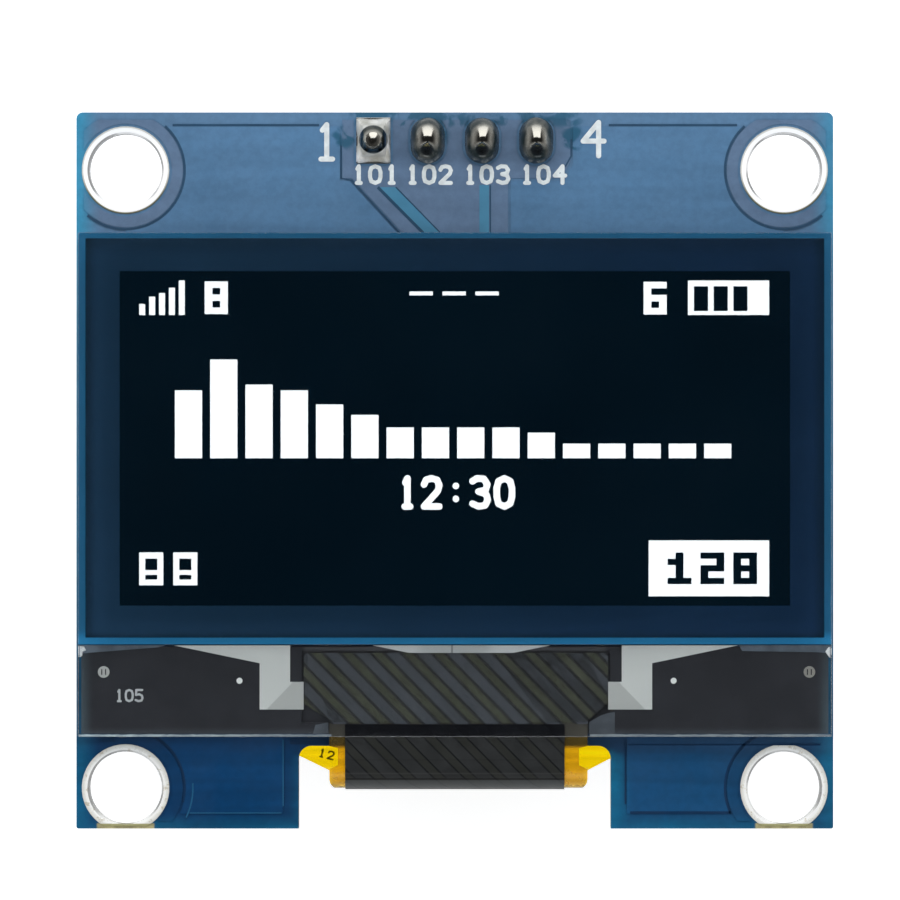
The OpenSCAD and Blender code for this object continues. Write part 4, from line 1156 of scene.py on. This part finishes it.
class DM_OT_panel(bpy.types.Operator):
    """Build the glass panel: its sheets, tape, polariser and border"""

    bl_idname = "display_module.panel"
    bl_label = "Glass Panel"

    def execute(self, context):
        look = context.scene.dm_screen
        edge = look.edge_round
        front = clear_glass("front_glass", (0.90, 0.95, 0.97))
        rear = clear_glass("rear_glass", (0.88, 0.94, 0.96))
        softened("substrate_glass", edge, front, segments=3, angle=60, shape=self.shrink(0.004))
        softened("cap_glass", edge * 0.6, rear, segments=2, angle=60, shape=self.shrink(0.004))

        film, tree, shader = new_material("polariser_film", look.tint, 0.12, specular=0.18)
        where = place(tree)
        feed(tree, shader,
             Base_Color=varied(tree, where, look.tint, 120.0, 0.10),
             Roughness=gloss(tree, where, 140.0, 0.06, 0.20))
        shader.inputs["Alpha"].default_value = look.cover
        softened("polariser", 0.035, film, segments=2, angle=60, shape=self.raise_foot)

        foam = grainy_material("foam_tape", (0.030, 0.034, 0.042), 0.9, grain=1500.0, depth=3e-5,
                               vary=0.25, vary_scale=1500.0)
        dress("mounting_tape", foam)
        sheet = grainy_material("drying_sheet", (0.80, 0.80, 0.76), 0.8, grain=2200.0, depth=5e-6)
        dress("desiccant_sheet", sheet)
        self.border(look)
        return {"FINISHED"}

    def shrink(self, gap):
        """Leaves a hair's gap between sheets, so that their faces don't meet."""
        def shape(bm):
            low = min(v.co.z for v in bm.verts)
            high = max(v.co.z for v in bm.verts)
            for v in bm.verts:
                v.co.z += gap * MM if v.co.z < (low + high) / 2 else -gap * MM
        return shape

    def raise_foot(self, bm):
        """Lifts the film's underside a hair off the glass."""
        low = min(v.co.z for v in bm.verts)
        for v in bm.verts:
            if v.co.z < low + 0.01 * MM:
                v.co.z += 0.01 * MM

    def border(self, look):
        """The dark border behind the glass, round the lit area, and the bluish rim outside it: painted
        light from the board's blue in the glass's edges.
        """
        border, tree, shader = new_material("dark_border", look.border, 0.5)
        where = place(tree)
        x, y = parts_of(tree, where)[:2]
        body = varied(tree, where, look.border, 300.0, 0.04)
        left, foot = POLAR_LOW[0] + 0.02, POLAR_LOW[1] + 0.02
        right, top = POLAR_HIGH[0] - 0.02, POLAR_HIGH[1] - 0.02
        outer = (left, foot, right, top)
        to_side = calc(tree, "MINIMUM", calc(tree, "SUBTRACT", x, left * MM),
                       calc(tree, "SUBTRACT", right * MM, x))
        shade = product(tree, ramp_mm(tree, to_side, 0.0, 0.6, 0.42, 1.0),
                        product(tree, ramp_mm(tree, y, top, top - 1.0, 0.42, 1.0),
                                ramp_mm(tree, y, foot, foot + 0.3, 0.5, 1.0)))
        upward = product(tree, shade, ramp_mm(tree, y, POLAR_LOW[1], POLAR_HIGH[1], 1.10, 0.96))
        tone, blue = [product(tree, ramp_mm(tree, x, -17.0, 17.0, at_left, 0.78), upward)
                      for at_left in (1.26, 0.98)]
        feed(tree, shader, Base_Color=toned(tree, body, tone, blue))
        low, high = GLASS_LOW[2] - 0.022, GLASS_LOW[2] - 0.006
        inner = (EMIT_LOW[0], EMIT_LOW[1], EMIT_HIGH[0], EMIT_HIGH[1])
        new_piece("screen_border", self.window(outer, inner, low, high), border, "emitter_black",
                  "edge_seal")
        rim, tree, shader = new_material("rim_glow", look.rim, 0.5)
        where = place(tree)
        y = parts_of(tree, where)[1]
        # Painted light: the rim is paler still below the polariser's lower edge.
        below = ramp_mm(tree, y, POLAR_LOW[1] + 0.4, POLAR_LOW[1] - 0.1)
        feed(tree, shader, Base_Color=blend(tree, below, varied(tree, where, look.rim, 300.0, 0.06),
                                            [min(1.0, c * 1.75) for c in look.rim]))
        edge = (GLASS_LOW[0] + 0.05, POLAR_LOW[1] - 0.32, GLASS_HIGH[0] - 0.05, GLASS_HIGH[1] - 0.05)
        new_piece("screen_rim", self.window(edge, outer, low, high), rim, "blue_laminate")

    def window(self, outer, inner, low, high):
        """A flat rectangular frame, from its outer and inner rectangles in millimetres."""
        bm = bmesh.new()
        bounds = [[bm.verts.new((x * MM, y * MM, low * MM)) for x, y in
                   ((r[0], r[1]), (r[2], r[1]), (r[2], r[3]), (r[0], r[3]))] for r in (outer, inner)]
        for i in range(4):
            j = (i + 1) % 4
            bm.faces.new((bounds[0][i], bounds[0][j], bounds[1][j], bounds[1][i]))
        raise_faces(bm, bm.faces[:], high - low)
        return bm


class DM_OT_picture(bpy.types.Operator):
    """Build the picture that the screen shows"""

    bl_idname = "display_module.picture"
    bl_label = "Screen Picture"

    def execute(self, context):
        look = context.scene.dm_screen
        black, tree, shader = new_material("unlit_elements", (0.0008, 0.0045, 0.0085), 0.35,
                                           specular=0.1)
        where = place(tree)
        columns = wave(tree, where, 640.0, "X")
        feed(tree, shader, Base_Color=blend(tree, columns, (0.0006, 0.0038, 0.0075),
                                            (0.0011, 0.0055, 0.0100)))
        dress("emitter_layer", black)
        lit, tree, shader = new_material("lit_elements", (0.9, 0.92, 0.95), 0.5)
        where = place(tree)
        level = ramp(tree, speckle(tree, where, 500.0, 2.0), 0.3, 0.7, 0.985, 1.0)
        feed(tree, shader, Emission_Color=add(
            tree, "ShaderNodeCombineColor", {0: level, 1: level, 2: 1.0}).outputs[0])
        shader.inputs["Emission Strength"].default_value = look.lit
        dress("lit_pixels", lit)

        low, high = GLASS_LOW[2] - 0.018, GLASS_LOW[2] - 0.002
        bm = bmesh.new()
        add_cell_digit(bm, "8", -11.66, 9.22, 0.36, 0.305, low, high)
        add_cell_digit(bm, "6", 8.80, 9.20, 0.36, 0.305, low, high)
        add_pen_digits(bm, "12:30", 0.05, -0.62, low, high, 1.62, 1.02, 1.13, 0.31)
        new_piece("screen_numbers", bm, lit, "lit_white")
        bm = bmesh.new()
        for i, digit in enumerate("128"):
            add_cell_digit(bm, digit, 9.92 + 1.53 * i, -3.42, 0.37, 0.295, GLASS_LOW[2] + 0.0003,
                           GLASS_LOW[2] + 0.0033)
        new_piece("screen_box_numbers", bm, black, "emitter_black")
        return {"FINISHED"}


class DM_OT_ledge(bpy.types.Operator):
    """Dress the glass ledge: its tape, electrodes and marks"""

    bl_idname = "display_module.ledge"
    bl_label = "Glass Ledge"

    def execute(self, context):
        black = (0.028, 0.028, 0.034)
        tape, tree, shader = new_material("ledge_tape", black, 0.6, specular=0.3)
        where = place(tree)
        x, y = parts_of(tree, where)[:2]
        side = size_of(tree, x)
        low_y = GLASS_LOW[1] + 0.1
        # Painted light: the tape is paler towards the glass's ends.
        ends = product(tree, ramp_mm(tree, side, 16.8, 17.7),
                       ramp(tree, y, POLAR_LOW[1] * MM, low_y * MM, 0.35, 0.75))
        foot = ramp_mm(tree, y, low_y + 0.4, low_y)
        colour = varied(tree, where, black, 700.0, 0.12)
        colour = blend(tree, ends, colour, (0.12, 0.17, 0.20))
        colour = blend(tree, product(tree, foot, 0.4), colour, (0.10, 0.11, 0.13))
        # Painted light: a paler band above the flex's upper edge, lifting the shade under the
        # polariser's edge.
        above_film = product(tree, ramp_mm(tree, y, BOND_HIGH[1] - 0.02, BOND_HIGH[1] + 0.03),
                             ramp_mm(tree, side, 7.2, 6.9))
        colour = blend(tree, above_film, colour, (0.070, 0.068, 0.074))
        feed(tree, shader, Base_Color=colour, Normal=relief(tree, where, 2500.0, 3e-6))
        dress("ledge_tape", tape)

        # The side electrodes get painted shade below a slanted fold line. The middle one lies wholly on
        # the shaded side, and has a seam and pale ends.
        fold_x, fold_y, fold_middle, fold_slope = 8.74, -10.65, 0.05, 1.04
        silver, tree, shader = new_material("electrode_silver", (0.47, 0.49, 0.48), 0.5, 0.25)
        where = place(tree)
        x, y = parts_of(tree, where)[:2]
        side = size_of(tree, x)
        inward = calc(tree, "SUBTRACT", fold_x * MM, apart(tree, x, fold_middle * MM))
        fold = calc(tree, "SUBTRACT", calc(tree, "SUBTRACT", y, fold_y * MM),
                    product(tree, inward, fold_slope))
        tone = ramp_mm(tree, fold, 0.04, -0.04, 1.02, 0.76)
        pale_ends = ramp_mm(tree, side, 1.3, 2.0)
        middle = blend(tree, pale_ends, (0.80, 0.81, 0.80), (1.0, 1.0, 0.99))
        seam = ramp_mm(tree, apart(tree, x, -0.13 * MM), 0.06, 0.03)
        middle = blend(tree, seam, middle, (0.40, 0.41, 0.41))
        body = blend(tree, ramp_mm(tree, side, 5.0, 6.0), middle, (0.80, 0.795, 0.765))
        cloud = ramp(tree, speckle(tree, where, 600.0), 0.3, 0.7, 0.0, 0.08)
        body = blend(tree, cloud, body, (0.40, 0.42, 0.42))
        feed(tree, shader, Base_Color=toned(tree, body, tone))
        for name in ("electrode_left", "electrode_right", "electrode_middle"):
            dress(name, silver)
        mark, tree, shader = new_material("mark_silver", (0.93, 0.92, 0.89), 0.5)
        x = parts_of(tree, place(tree))[0]
        outer = ramp_mm(tree, size_of(tree, x), 13.0, 14.0)
        dull = blend(tree, ramp_mm(tree, x, -1.0, 1.0), (0.52, 0.51, 0.49), (0.33, 0.31, 0.28))
        feed(tree, shader, Base_Color=blend(tree, outer, (0.98, 0.97, 0.94), dull))
        dress("alignment_marks", mark)
        dress("driver_chip", grainy_material("chip_silicon", (0.06, 0.06, 0.075), 0.15, 0.4))

        low, high = GLASS_LOW[2] - 0.03, GLASS_LOW[2] - 0.004
        bm = bmesh.new()
        add_pen_digits(bm, "105", -15.18, -10.09, low, high, 0.62, 0.42, 0.46, 0.10)
        new_piece("ledge_number", bm, grainy_material("ledge_ink", (0.60, 0.60, 0.61), 0.6),
                  "electrode_silver")
        self.underlay(tape)
        self.glints(low, high)
        return {"FINISHED"}

    def underlay(self, tape):
        """A dark sheet in the tape's material beneath the flex's outline, so that the board doesn't
        show beside it.
        """
        tape_low = box_mm("ledge_tape")[0]
        low, high = tape_low[2] - 0.07, tape_low[2] - 0.01
        out, into = 0.45, 1.25
        left, right = BOND_LOW[0] - out, BOND_HIGH[0] + out
        foot, middle, top = tape_low[1], BOND_HIGH[1] - 0.10, BOND_HIGH[1] + 0.20
        bm = bmesh.new()
        for start, end, lower, upper in ((left, BOND_LOW[0] + into, foot, middle),
                                         (BOND_HIGH[0] - into, right, foot, middle),
                                         (left, right, middle, top)):
            add_box(bm, (start, lower, low), (end, upper, high))
        new_piece("ledge_underlay", bm, tape, "black_tape")

    def glints(self, low, high):
        """Light caught at the ledge: its upper ends, the flex's foot and the glass's ground edge."""
        top, left, right = POLAR_LOW[1] - 0.36, GLASS_LOW[0] + 0.06, GLASS_HIGH[0] - 0.06
        sheen = grainy_material("ledge_sheen", (0.120, 0.145, 0.180), 0.5, vary=0.3)
        self.plates(
            "ledge_sheen", sheen, "electrode_silver", low, high,
            [(left, top), (left, top - 0.40), (left + 0.5, top - 0.35), (-13.8, top - 0.10),
             (-13.5, top)],
            [(13.25, top), (13.4, top - 0.27), (right - 0.6, top - 0.33), (right, top - 0.38),
             (right, top)])
        # Squeezed adhesive beside the flex's foot, painted paler than the tape as light caught on it.
        patches = grainy_material("squeezed_adhesive_glint", (0.082, 0.092, 0.110), 0.5, vary=0.25)
        self.plates(
            "adhesive_glint_patches", patches, "electrode_silver", low, high,
            [(6.26, -11.93), (6.26, -11.34), (6.80, -11.02), (7.17, -10.90), (7.46, -10.86),
             (7.46, -11.93)],
            [(-6.62, -11.88), (-6.5, -11.46), (-5.90, -11.34), (-5.90, -11.85)])
        chips = grainy_material("chipped_glass", (0.80, 0.84, 0.86), 0.6, vary=0.3,
                                vary_scale=4000.0)
        self.plates(
            "edge_chips", chips, "clear_glass", high, high + 0.003,
            [(left, top - 0.04), (left, top - 0.56), (left + 0.12, top - 0.50),
             (left + 0.14, top - 0.30), (left + 0.30, top - 0.24), (left + 0.20, top - 0.06)],
            [(right, top - 0.08), (right, top - 0.60), (right - 0.10, top - 0.48),
             (right - 0.22, top - 0.30), (right - 0.08, top - 0.10)])
        self.ground_edge(left - 0.02, right + 0.02)

    def plates(self, name, material, slot, low, high, *outlines):
        """Makes one piece of plates that lie at one height; each is an outline in millimetres."""
        bm = bmesh.new()
        for outline in outlines:
            add_plate(bm, outline, low, high)
        new_piece(name, bm, material, slot)

    def ground_edge(self, left, right):
        """The uneven ground edge along the foot of the front glass, beside the flex."""
        ground, tree, shader = new_material("ground_edge", (0.5, 0.6, 0.7), 0.5)
        where = place(tree)
        x = parts_of(tree, where)[0]
        base = blend(tree, ramp_mm(tree, x, -18.0, -6.0), (0.46, 0.58, 0.62), (0.24, 0.29, 0.31))
        grit = ramp(tree, speckle(tree, stretched(tree, where, (1100.0, 3000.0, 1.0)), 1.0, 3.0, 0.7),
                    0.35, 0.68)
        dim = blend(tree, 0.55, base, (0.08, 0.11, 0.16))
        feed(tree, shader, Base_Color=blend(tree, grit, dim, base))
        bm = bmesh.new()
        pick = random.Random(7)
        steps = 60
        for start, end in ((left, -5.75), (6.3, right)):
            xs = [start + (end - start) * i / steps for i in range(steps + 1)]
            upper = [(x, GLASS_LOW[1] + 0.115 + pick.uniform(-0.015, 0.015)) for x in xs]
            add_plate(bm, upper + [(x, GLASS_LOW[1] + 0.015) for x in reversed(xs)],
                      GLASS_HIGH[2] - 0.03, GLASS_HIGH[2] + 0.004)
        new_piece("ground_glass_edge", bm, ground, "clear_glass")


# ---------------------------------------------------------------- flex


class DM_OT_flex(bpy.types.Operator):
    """Finish the flex: film, shield stripes, covering, fingers and their solder"""

    bl_idname = "display_module.flex"
    bl_label = "Folded Flex"

    def execute(self, context):
        look = context.scene.dm_flex
        film, tree, shader = new_material("amber_film", look.film, 0.22, specular=0.5)
        shader.inputs["Transmission Weight"].default_value = look.clear
        where = place(tree)
        y, z = parts_of(tree, where)[1:3]
        # Painted light: the tail behind the board is a brighter yellow, as if lit through from behind.
        behind = ramp_mm(tree, z, 0.6, 0.1)
        colour = blend(tree, behind, varied(tree, where, look.film, 420.0, 0.07), look.wing)
        # Painted shade: a darker band on the front film just below the glass's lower edge.
        neck_shade = product(tree, ramp_mm(tree, z, 1.2, 1.5), ramp_mm(tree, y, -12.62, -12.45))
        colour = blend(tree, neck_shade, colour, (0.36, 0.24, 0.050))
        streak_places = stretched(tree, where, (120.0, 2600.0, 900.0))
        streaks = ramp(tree, speckle(tree, streak_places, 1.0, 2.0), 0.35, 0.65, 0.90, 1.08)
        feed(tree, shader, Base_Color=toned(tree, colour, streaks),
             Roughness=gloss(tree, where, 700.0, 0.18, 0.30),
             Normal=relief(tree, where, 900.0, 2e-6, 0.15))
        # Painted shade: the film's part under the glass is a dark olive copy of the amber film, as seen
        # over the dark parts behind it.
        bonded, tree, shader = new_material("bonded_film", (0.05, 0.05, 0.04), 0.35, specular=0.3)
        where = place(tree)
        y = parts_of(tree, where)[1]
        edge = ramp(tree, self.stripe_wave(tree, where), -0.74, -0.42)
        striped = blend(tree, edge, varied(tree, where, (0.060, 0.063, 0.038), 1500.0, 0.16),
                        (0.012, 0.014, 0.016))
        joint = ramp_mm(tree, y, -11.32, -11.42)
        bare = varied(tree, where, (0.068, 0.062, 0.052), 700.0, 0.15)
        feed(tree, shader, Base_Color=blend(tree, joint, striped, bare),
             Normal=relief(tree, where, 2200.0, 2e-6))
        slot = slot_of("flex_film")
        new_piece("flex_film_finished", self.film_part(False), film, slot, "flex_film")
        new_piece("flex_film_bonded", self.film_part(True), bonded, slot)

        stripe, tree, shader = new_material("shield_stripes", look.stripe, 0.5)
        where = place(tree)
        rim = ramp(tree, self.stripe_wave(tree, where), 0.40, 0.10)
        feed(tree, shader, Base_Color=blend(tree, rim, varied(tree, where, look.stripe, 800.0, 0.10),
                                            (0.014, 0.016, 0.021)),
             Normal=relief(tree, where, 3000.0, 3e-6))
        softened("shield_hatch", 0.0, stripe)

        glue, tree, shader = new_material("clear_adhesive", (0.3, 0.3, 0.27), 0.3)
        where = place(tree)
        feed(tree, shader, Base_Color=varied(tree, where, (0.10, 0.10, 0.09), 500.0, 0.2))
        shader.inputs["Alpha"].default_value = 0.12
        dress("bond_adhesive", glue)

        cover, tree, shader = new_material("black_covering", look.cover, 0.32, specular=0.45)
        where = place(tree)
        body = varied(tree, where, look.cover, 900.0, 0.15)
        y = parts_of(tree, where)[1]
        stripes = self.stripe_wave(tree, where)
        gaps = ramp(tree, stripes, -0.15, -0.45)
        edges = product(tree, ramp(tree, stripes, -0.02, -0.20), ramp(tree, stripes, -0.62, -0.40))
        striped = blend(tree, product(tree, gaps, 0.45), body, (0.023, 0.024, 0.017))
        striped = blend(tree, product(tree, edges, 0.8), striped, (0.005, 0.006, 0.008))
        # Lines near the fold's lower edge: below the crease a pale lip, a painted highlight where the
        # fold's curve catches light; a dark line along the crease, a fainter one further up and a pale
        # one between them.
        crease_y = COVER_LOW[1] + 0.52
        lip = ramp_mm(tree, y, crease_y - 0.03, crease_y - 0.08)
        striped = blend(tree, product(tree, lip, 0.45), striped, (0.085, 0.095, 0.098))
        for above, reach, amount, shade in ((0.0, 0.045, 0.9, 0.003), (0.9, 0.02, 0.5, 0.006),
                                            (0.26, 0.05, 0.35, 0.060)):
            off = apart(tree, y, (crease_y + above) * MM)
            striped = blend(tree, ramp_mm(tree, off, reach, reach * 0.3, 0.0, amount), striped,
                            [shade] * 3)
        # Painted shadow: the covering is near black under the glass.
        glass_shadow = ramp_mm(tree, y, GLASS_LOW[1] - 0.02, GLASS_LOW[1] + 0.05)
        feed(tree, shader, Base_Color=blend(tree, glass_shadow, striped, (0.002, 0.002, 0.004)),
             Roughness=gloss(tree, where, 900.0, 0.29, 0.38),
             Normal=self.stripe_relief(tree, where))
        softened("flex_coverlay", 0.0, cover)

        copper = grainy_material("bare_copper", (0.80, 0.45, 0.25), 0.3, 1.0)
        dress("flex_fingers", copper)
        solder = grainy_material("finger_solder", (0.72, 0.72, 0.69), 0.2, 1.0, grain=1800.0,
                                 depth=6e-6)
        softened("finger_solder", 0.05, solder, segments=3, angle=40)

        bm = bmesh.new()
        add_pen_digits(bm, "12", 0, 0, 0.003, 0.011, 0.44, 0.34, 0.42, 0.08)
        turn = Matrix.Rotation(math.radians(-14), 3, "Z")
        bmesh.ops.rotate(bm, verts=bm.verts, cent=(0, 0, 0), matrix=turn)
        bmesh.ops.translate(bm, verts=bm.verts,
                            vec=Vector((-6.02, -12.92, FILM_LOW[2] + FILM_T)) * MM)
        new_piece("flex_number", bm, grainy_material("flex_ink", (0.10, 0.065, 0.0), 0.6),
                  "amber_film")
        return {"FINISHED"}

    def film_part(self, bonded):
        """The film's part bonded beneath the glass, or the rest of it."""
        bm = merged_copy("flex_film")
        cut = GLASS_LOW[1] * MM
        bmesh.ops.bisect_plane(bm, geom=bm.verts[:] + bm.edges[:] + bm.faces[:], dist=MERGE_DISTANCE,
                               plane_co=(0, cut, 0), plane_no=(0, 1, 0))
        off = []
        for face in bm.faces:
            middle = face.calc_center_median()
            if (middle.y > cut and middle.z > BOARD_FRONT * MM) != bonded:
                off.append(face)
        bmesh.ops.delete(bm, geom=off, context="FACES")
        bmesh.ops.holes_fill(bm, edges=[e for e in bm.edges if len(e.link_faces) == 1])
        return bm

    def stripe_wave(self, tree, where):
        """1 along the middle of the shield's stripes and -1 midway between them, round the fold too."""
        x, y, z = parts_of(tree, where)[:3]
        radius = (COVER_HIGH[2] - COVER_LOW[2]) / 2
        bend_y = COVER_LOW[1] + radius
        bend_z = (COVER_HIGH[2] + COVER_LOW[2]) / 2
        out = calc(tree, "SUBTRACT", bend_y * MM, y)
        turn = calc(tree, "ARCTAN2", calc(tree, "MAXIMUM", out, 0.0),
                    calc(tree, "SUBTRACT", z, bend_z * MM))
        length = calc(tree, "SUBTRACT", calc(tree, "MAXIMUM", y, bend_y * MM),
                      product(tree, turn, radius * MM))
        shift = product(tree, calc(tree, "SUBTRACT", length, STRIPE_Y * MM), STRIPE_SLANT)
        slanted = calc(tree, "ADD", calc(tree, "SUBTRACT", x, STRIPE_X * MM), shift)
        return calc(tree, "COSINE", product(tree, slanted, math.tau / (STRIPE_PITCH * MM)))

    def stripe_relief(self, tree, where):
        """The stripes underneath show as slanted ridges in the covering."""
        ridge = ramp(tree, self.stripe_wave(tree, where), -0.45, -0.10)
        return add(tree, "ShaderNodeBump",
                   {"Height": ridge, "Distance": 1.2e-5, "Strength": 0.5}).outputs[0]


# ---------------------------------------------------------------- small parts on the rear


class DM_OT_rear(bpy.types.Operator):
    """Finish the small parts on the board's rear"""

    bl_idname = "display_module.rear_parts"
    bl_label = "Rear Parts"

    def execute(self, context):
        ceramic = grainy_material("fired_ceramic", (0.30, 0.17, 0.085), 0.6, grain=3500.0, depth=5e-6,
                                  vary=0.15)
        coat = grainy_material("resistor_coat", (0.012, 0.012, 0.015), 0.25, vary=0.2)
        epoxy = grainy_material("moulded_epoxy", (0.018, 0.018, 0.020), 0.5, grain=2800.0, depth=8e-6,
                                vary=0.2)
        tin = grainy_material("tinned_lead", (0.78, 0.78, 0.75), 0.24, 1.0, grain=2400.0, depth=4e-6)
        solder = grainy_material("chip_solder", (0.74, 0.74, 0.71), 0.16, 1.0, grain=1600.0,
                                 depth=6e-6)
        for name in sorted(NODES):
            if name.startswith("capacitor_"):
                softened(name, 0.05, ceramic, segments=3, angle=40)
            elif name.startswith("resistor_"):
                softened(name, 0.03, coat, segments=2, angle=40)
        softened("regulator_body", 0.05, epoxy, segments=3, angle=20)
        softened("diode_body", 0.05, epoxy, segments=3, angle=20)
        softened("moulded_part_leads", 0.03, tin, segments=2, angle=30)
        softened("chip_end_caps", 0.04, tin, segments=3, angle=40)
        softened("chip_solder", 0.02, solder, segments=2, angle=40)
        self.marks(context)
        return {"FINISHED"}

    def marks(self, context):
        """White lines above and below two of the parts, and a number for each header pin."""
        ink = bpy.data.materials["white_ink"]
        low, high = -context.scene.dm_board.ink_t, 0.0
        gap, over, line_w = 0.75, 0.2, 0.13
        bm = bmesh.new()
        for name in ("regulator_body", "diode_body"):
            body_low, body_high = box_mm(name)
            for y in (body_low[1] - gap, body_high[1] + gap):
                add_ribbon(bm, [(body_low[0] - over, y), (body_high[0] + over, y)], line_w, low, high)
        digit_y = box_mm("header_housing")[0][1] - 1.3
        for number, (x, _) in enumerate(PIN_PLACES, 1):
            part = bmesh.new()
            add_digits(part, "%d" % number, low, high, 1.0, 0.02)
            bmesh.ops.scale(part, vec=(-1, 1, 1), verts=part.verts)
            bmesh.ops.translate(part, vec=(x * MM, digit_y * MM, 0), verts=part.verts)
            join(bm, part)
        new_piece("rear_print", bm, ink, "blue_laminate")


# ---------------------------------------------------------------- stage


class DM_OT_stage(bpy.types.Operator):
    """Set up the floor, lamps, surround and camera"""

    bl_idname = "display_module.stage"
    bl_label = "Stage"

    # The camera's sensor width, and the point of the board that it looks at, in millimetres.
    SENSOR_W = 36.0
    AIM_X, AIM_Y = -0.225, 1.358

    def execute(self, context):
        look = context.scene.dm_stage
        scene = context.scene
        scene.view_settings.view_transform = "Standard"
        self.floor(look)
        self.surround(look)
        self.lamps(look)
        self.camera(look)
        return {"FINISHED"}

    def floor(self, look):
        """A pale floor just under the pins."""
        bm = bmesh.new()
        bmesh.ops.create_grid(bm, x_segments=2, y_segments=2, size=0.6)
        bmesh.ops.translate(bm, vec=(0, 0, CAD_BOX[0][2] - look.floor_drop), verts=bm.verts)
        mesh = bpy.data.meshes.new("floor")
        bm.to_mesh(mesh)
        bm.free()
        floor = bpy.data.objects.new("floor", mesh)
        bpy.context.scene.collection.objects.link(floor)
        material = bpy.data.materials.new("pale_floor")
        material.use_nodes = True
        tree = material.node_tree
        tree.nodes.clear()
        path = add(tree, "ShaderNodeLightPath").outputs
        seen = calc(tree, "MAXIMUM", path["Is Camera Ray"],
                    calc(tree, "MAXIMUM", path["Is Glossy Ray"], path["Is Transmission Ray"]))
        level = calc(tree, "ADD", product(tree, path["Is Camera Ray"], 0.62),
                     product(tree, path["Is Transmission Ray"], 0.84))
        matt = add(tree, "ShaderNodeBsdfDiffuse", {"Color": (0.86, 0.86, 0.86, 1)})
        white = add(tree, "ShaderNodeEmission", {"Color": (1, 1, 1, 1), "Strength": level})
        lit = add(tree, "ShaderNodeAddShader", {0: matt.outputs[0], 1: white.outputs[0]})
        mix = add(tree, "ShaderNodeMixShader", {0: seen, 1: matt.outputs[0], 2: lit.outputs[0]})
        add(tree, "ShaderNodeOutputMaterial", {"Surface": mix.outputs[0]})
        mesh.materials.append(material)

    def surround(self, look):
        """White to the camera, darker overhead to mirrors and glass, and even for all other light."""
        world = bpy.data.worlds.new("surround")
        bpy.context.scene.world = world
        world.use_nodes = True
        tree = world.node_tree
        tree.nodes.clear()
        path = add(tree, "ShaderNodeLightPath").outputs
        way = add(tree, "ShaderNodeTexCoord").outputs["Generated"]
        z = parts_of(tree, way)[2]
        white = add(tree, "ShaderNodeBackground", {"Color": (1, 1, 1, 1), "Strength": 1.0})
        low = add(tree, "ShaderNodeBackground", {"Color": (0.93, 0.97, 1, 1), "Strength": look.fill})
        mirror = ramp(tree, z, 0.05, 0.75, 0.34, 0.015)
        gloss = add(tree, "ShaderNodeBackground", {"Color": (1, 1, 1, 1), "Strength": mirror})
        bent = calc(tree, "MAXIMUM", path["Is Glossy Ray"], path["Is Transmission Ray"])
        mix = add(tree, "ShaderNodeMixShader", {0: bent, 1: low.outputs[0], 2: gloss.outputs[0]})
        mix = add(tree, "ShaderNodeMixShader", {0: path["Is Camera Ray"], 1: mix.outputs[0],
                                                2: white.outputs[0]})
        add(tree, "ShaderNodeOutputWorld", {"Surface": mix.outputs[0]})

    def lamps(self, look):
        """Softboxes: one beyond the header, two at the sides and a weak one in front."""
        for name, place_at, size, power in (
                ("softbox_header", (0.0, 0.30, 0.22), 0.46, look.key),
                ("softbox_left", (-0.36, 0.02, 0.20), 0.25, look.key * 0.42),
                ("softbox_right", (0.36, 0.02, 0.20), 0.25, look.key * 0.34),
                ("softbox_front", (0.0, -0.36, 0.24), 0.20, look.key * 0.30)):
            data = bpy.data.lights.new(name, "AREA")
            data.shape = "SQUARE"
            data.size = size
            data.energy = power
            lamp = bpy.data.objects.new(name, data)
            lamp.location = place_at
            lamp.visible_glossy = name == "softbox_header"
            aim = Vector((0, 0, 0)) - Vector(place_at)
            lamp.rotation_euler = aim.to_track_quat("-Z", "Y").to_euler()
            bpy.context.scene.collection.objects.link(lamp)

    def camera(self, look):
        """Straight above the board, upright, and aimed a little above its middle."""
        data = bpy.data.cameras.new("camera")
        data.type = "PERSP"
        data.sensor_width = self.SENSOR_W
        data.lens = self.SENSOR_W * look.distance / look.frame_w
        data.clip_start = 0.01
        data.clip_end = 10.0
        camera = bpy.data.objects.new("camera", data)
        camera.location = (self.AIM_X * MM, self.AIM_Y * MM, look.distance + BOARD_FRONT * MM)
        bpy.context.scene.collection.objects.link(camera)
        bpy.context.scene.camera = camera


# ---------------------------------------------------------------- panel and registration


STEPS = (DM_OT_board, DM_OT_plating, DM_OT_solder, DM_OT_header, DM_OT_panel, DM_OT_picture,
         DM_OT_ledge, DM_OT_flex, DM_OT_rear, DM_OT_stage)


class DM_PT_sidebar(bpy.types.Panel):
    """Lists the module's settings and the steps that build it"""

    bl_idname = "DM_PT_sidebar"
    bl_label = "Display Module"
    bl_space_type = "VIEW_3D"
    bl_region_type = "UI"
    bl_category = "Display Module"

    def draw(self, context):
        for key, group in LOOKS:
            box = self.layout.box()
            settings = getattr(context.scene, key)
            for name in group.__annotations__:
                box.prop(settings, name)
        for step in STEPS:
            self.layout.operator(step.bl_idname)


CLASSES = tuple(group for _, group in LOOKS) + STEPS + (DM_PT_sidebar,)


def register():
    for item in CLASSES:
        bpy.utils.register_class(item)
    for key, group in LOOKS:
        setattr(bpy.types.Scene, key, PointerProperty(type=group))


def unregister():
    for key, _ in LOOKS:
        delattr(bpy.types.Scene, key)
    for item in reversed(CLASSES):
        bpy.utils.unregister_class(item)


def main():
    register()
    make_groups()
    bpy.ops.display_module.board()
    bpy.ops.display_module.plating()
    bpy.ops.display_module.solder_joints()
    bpy.ops.display_module.header()
    bpy.ops.display_module.panel()
    bpy.ops.display_module.picture()
    bpy.ops.display_module.ledge()
    bpy.ops.display_module.flex()
    bpy.ops.display_module.rear_parts()
    bpy.ops.display_module.stage()


if __name__ == "__main__":
    main()
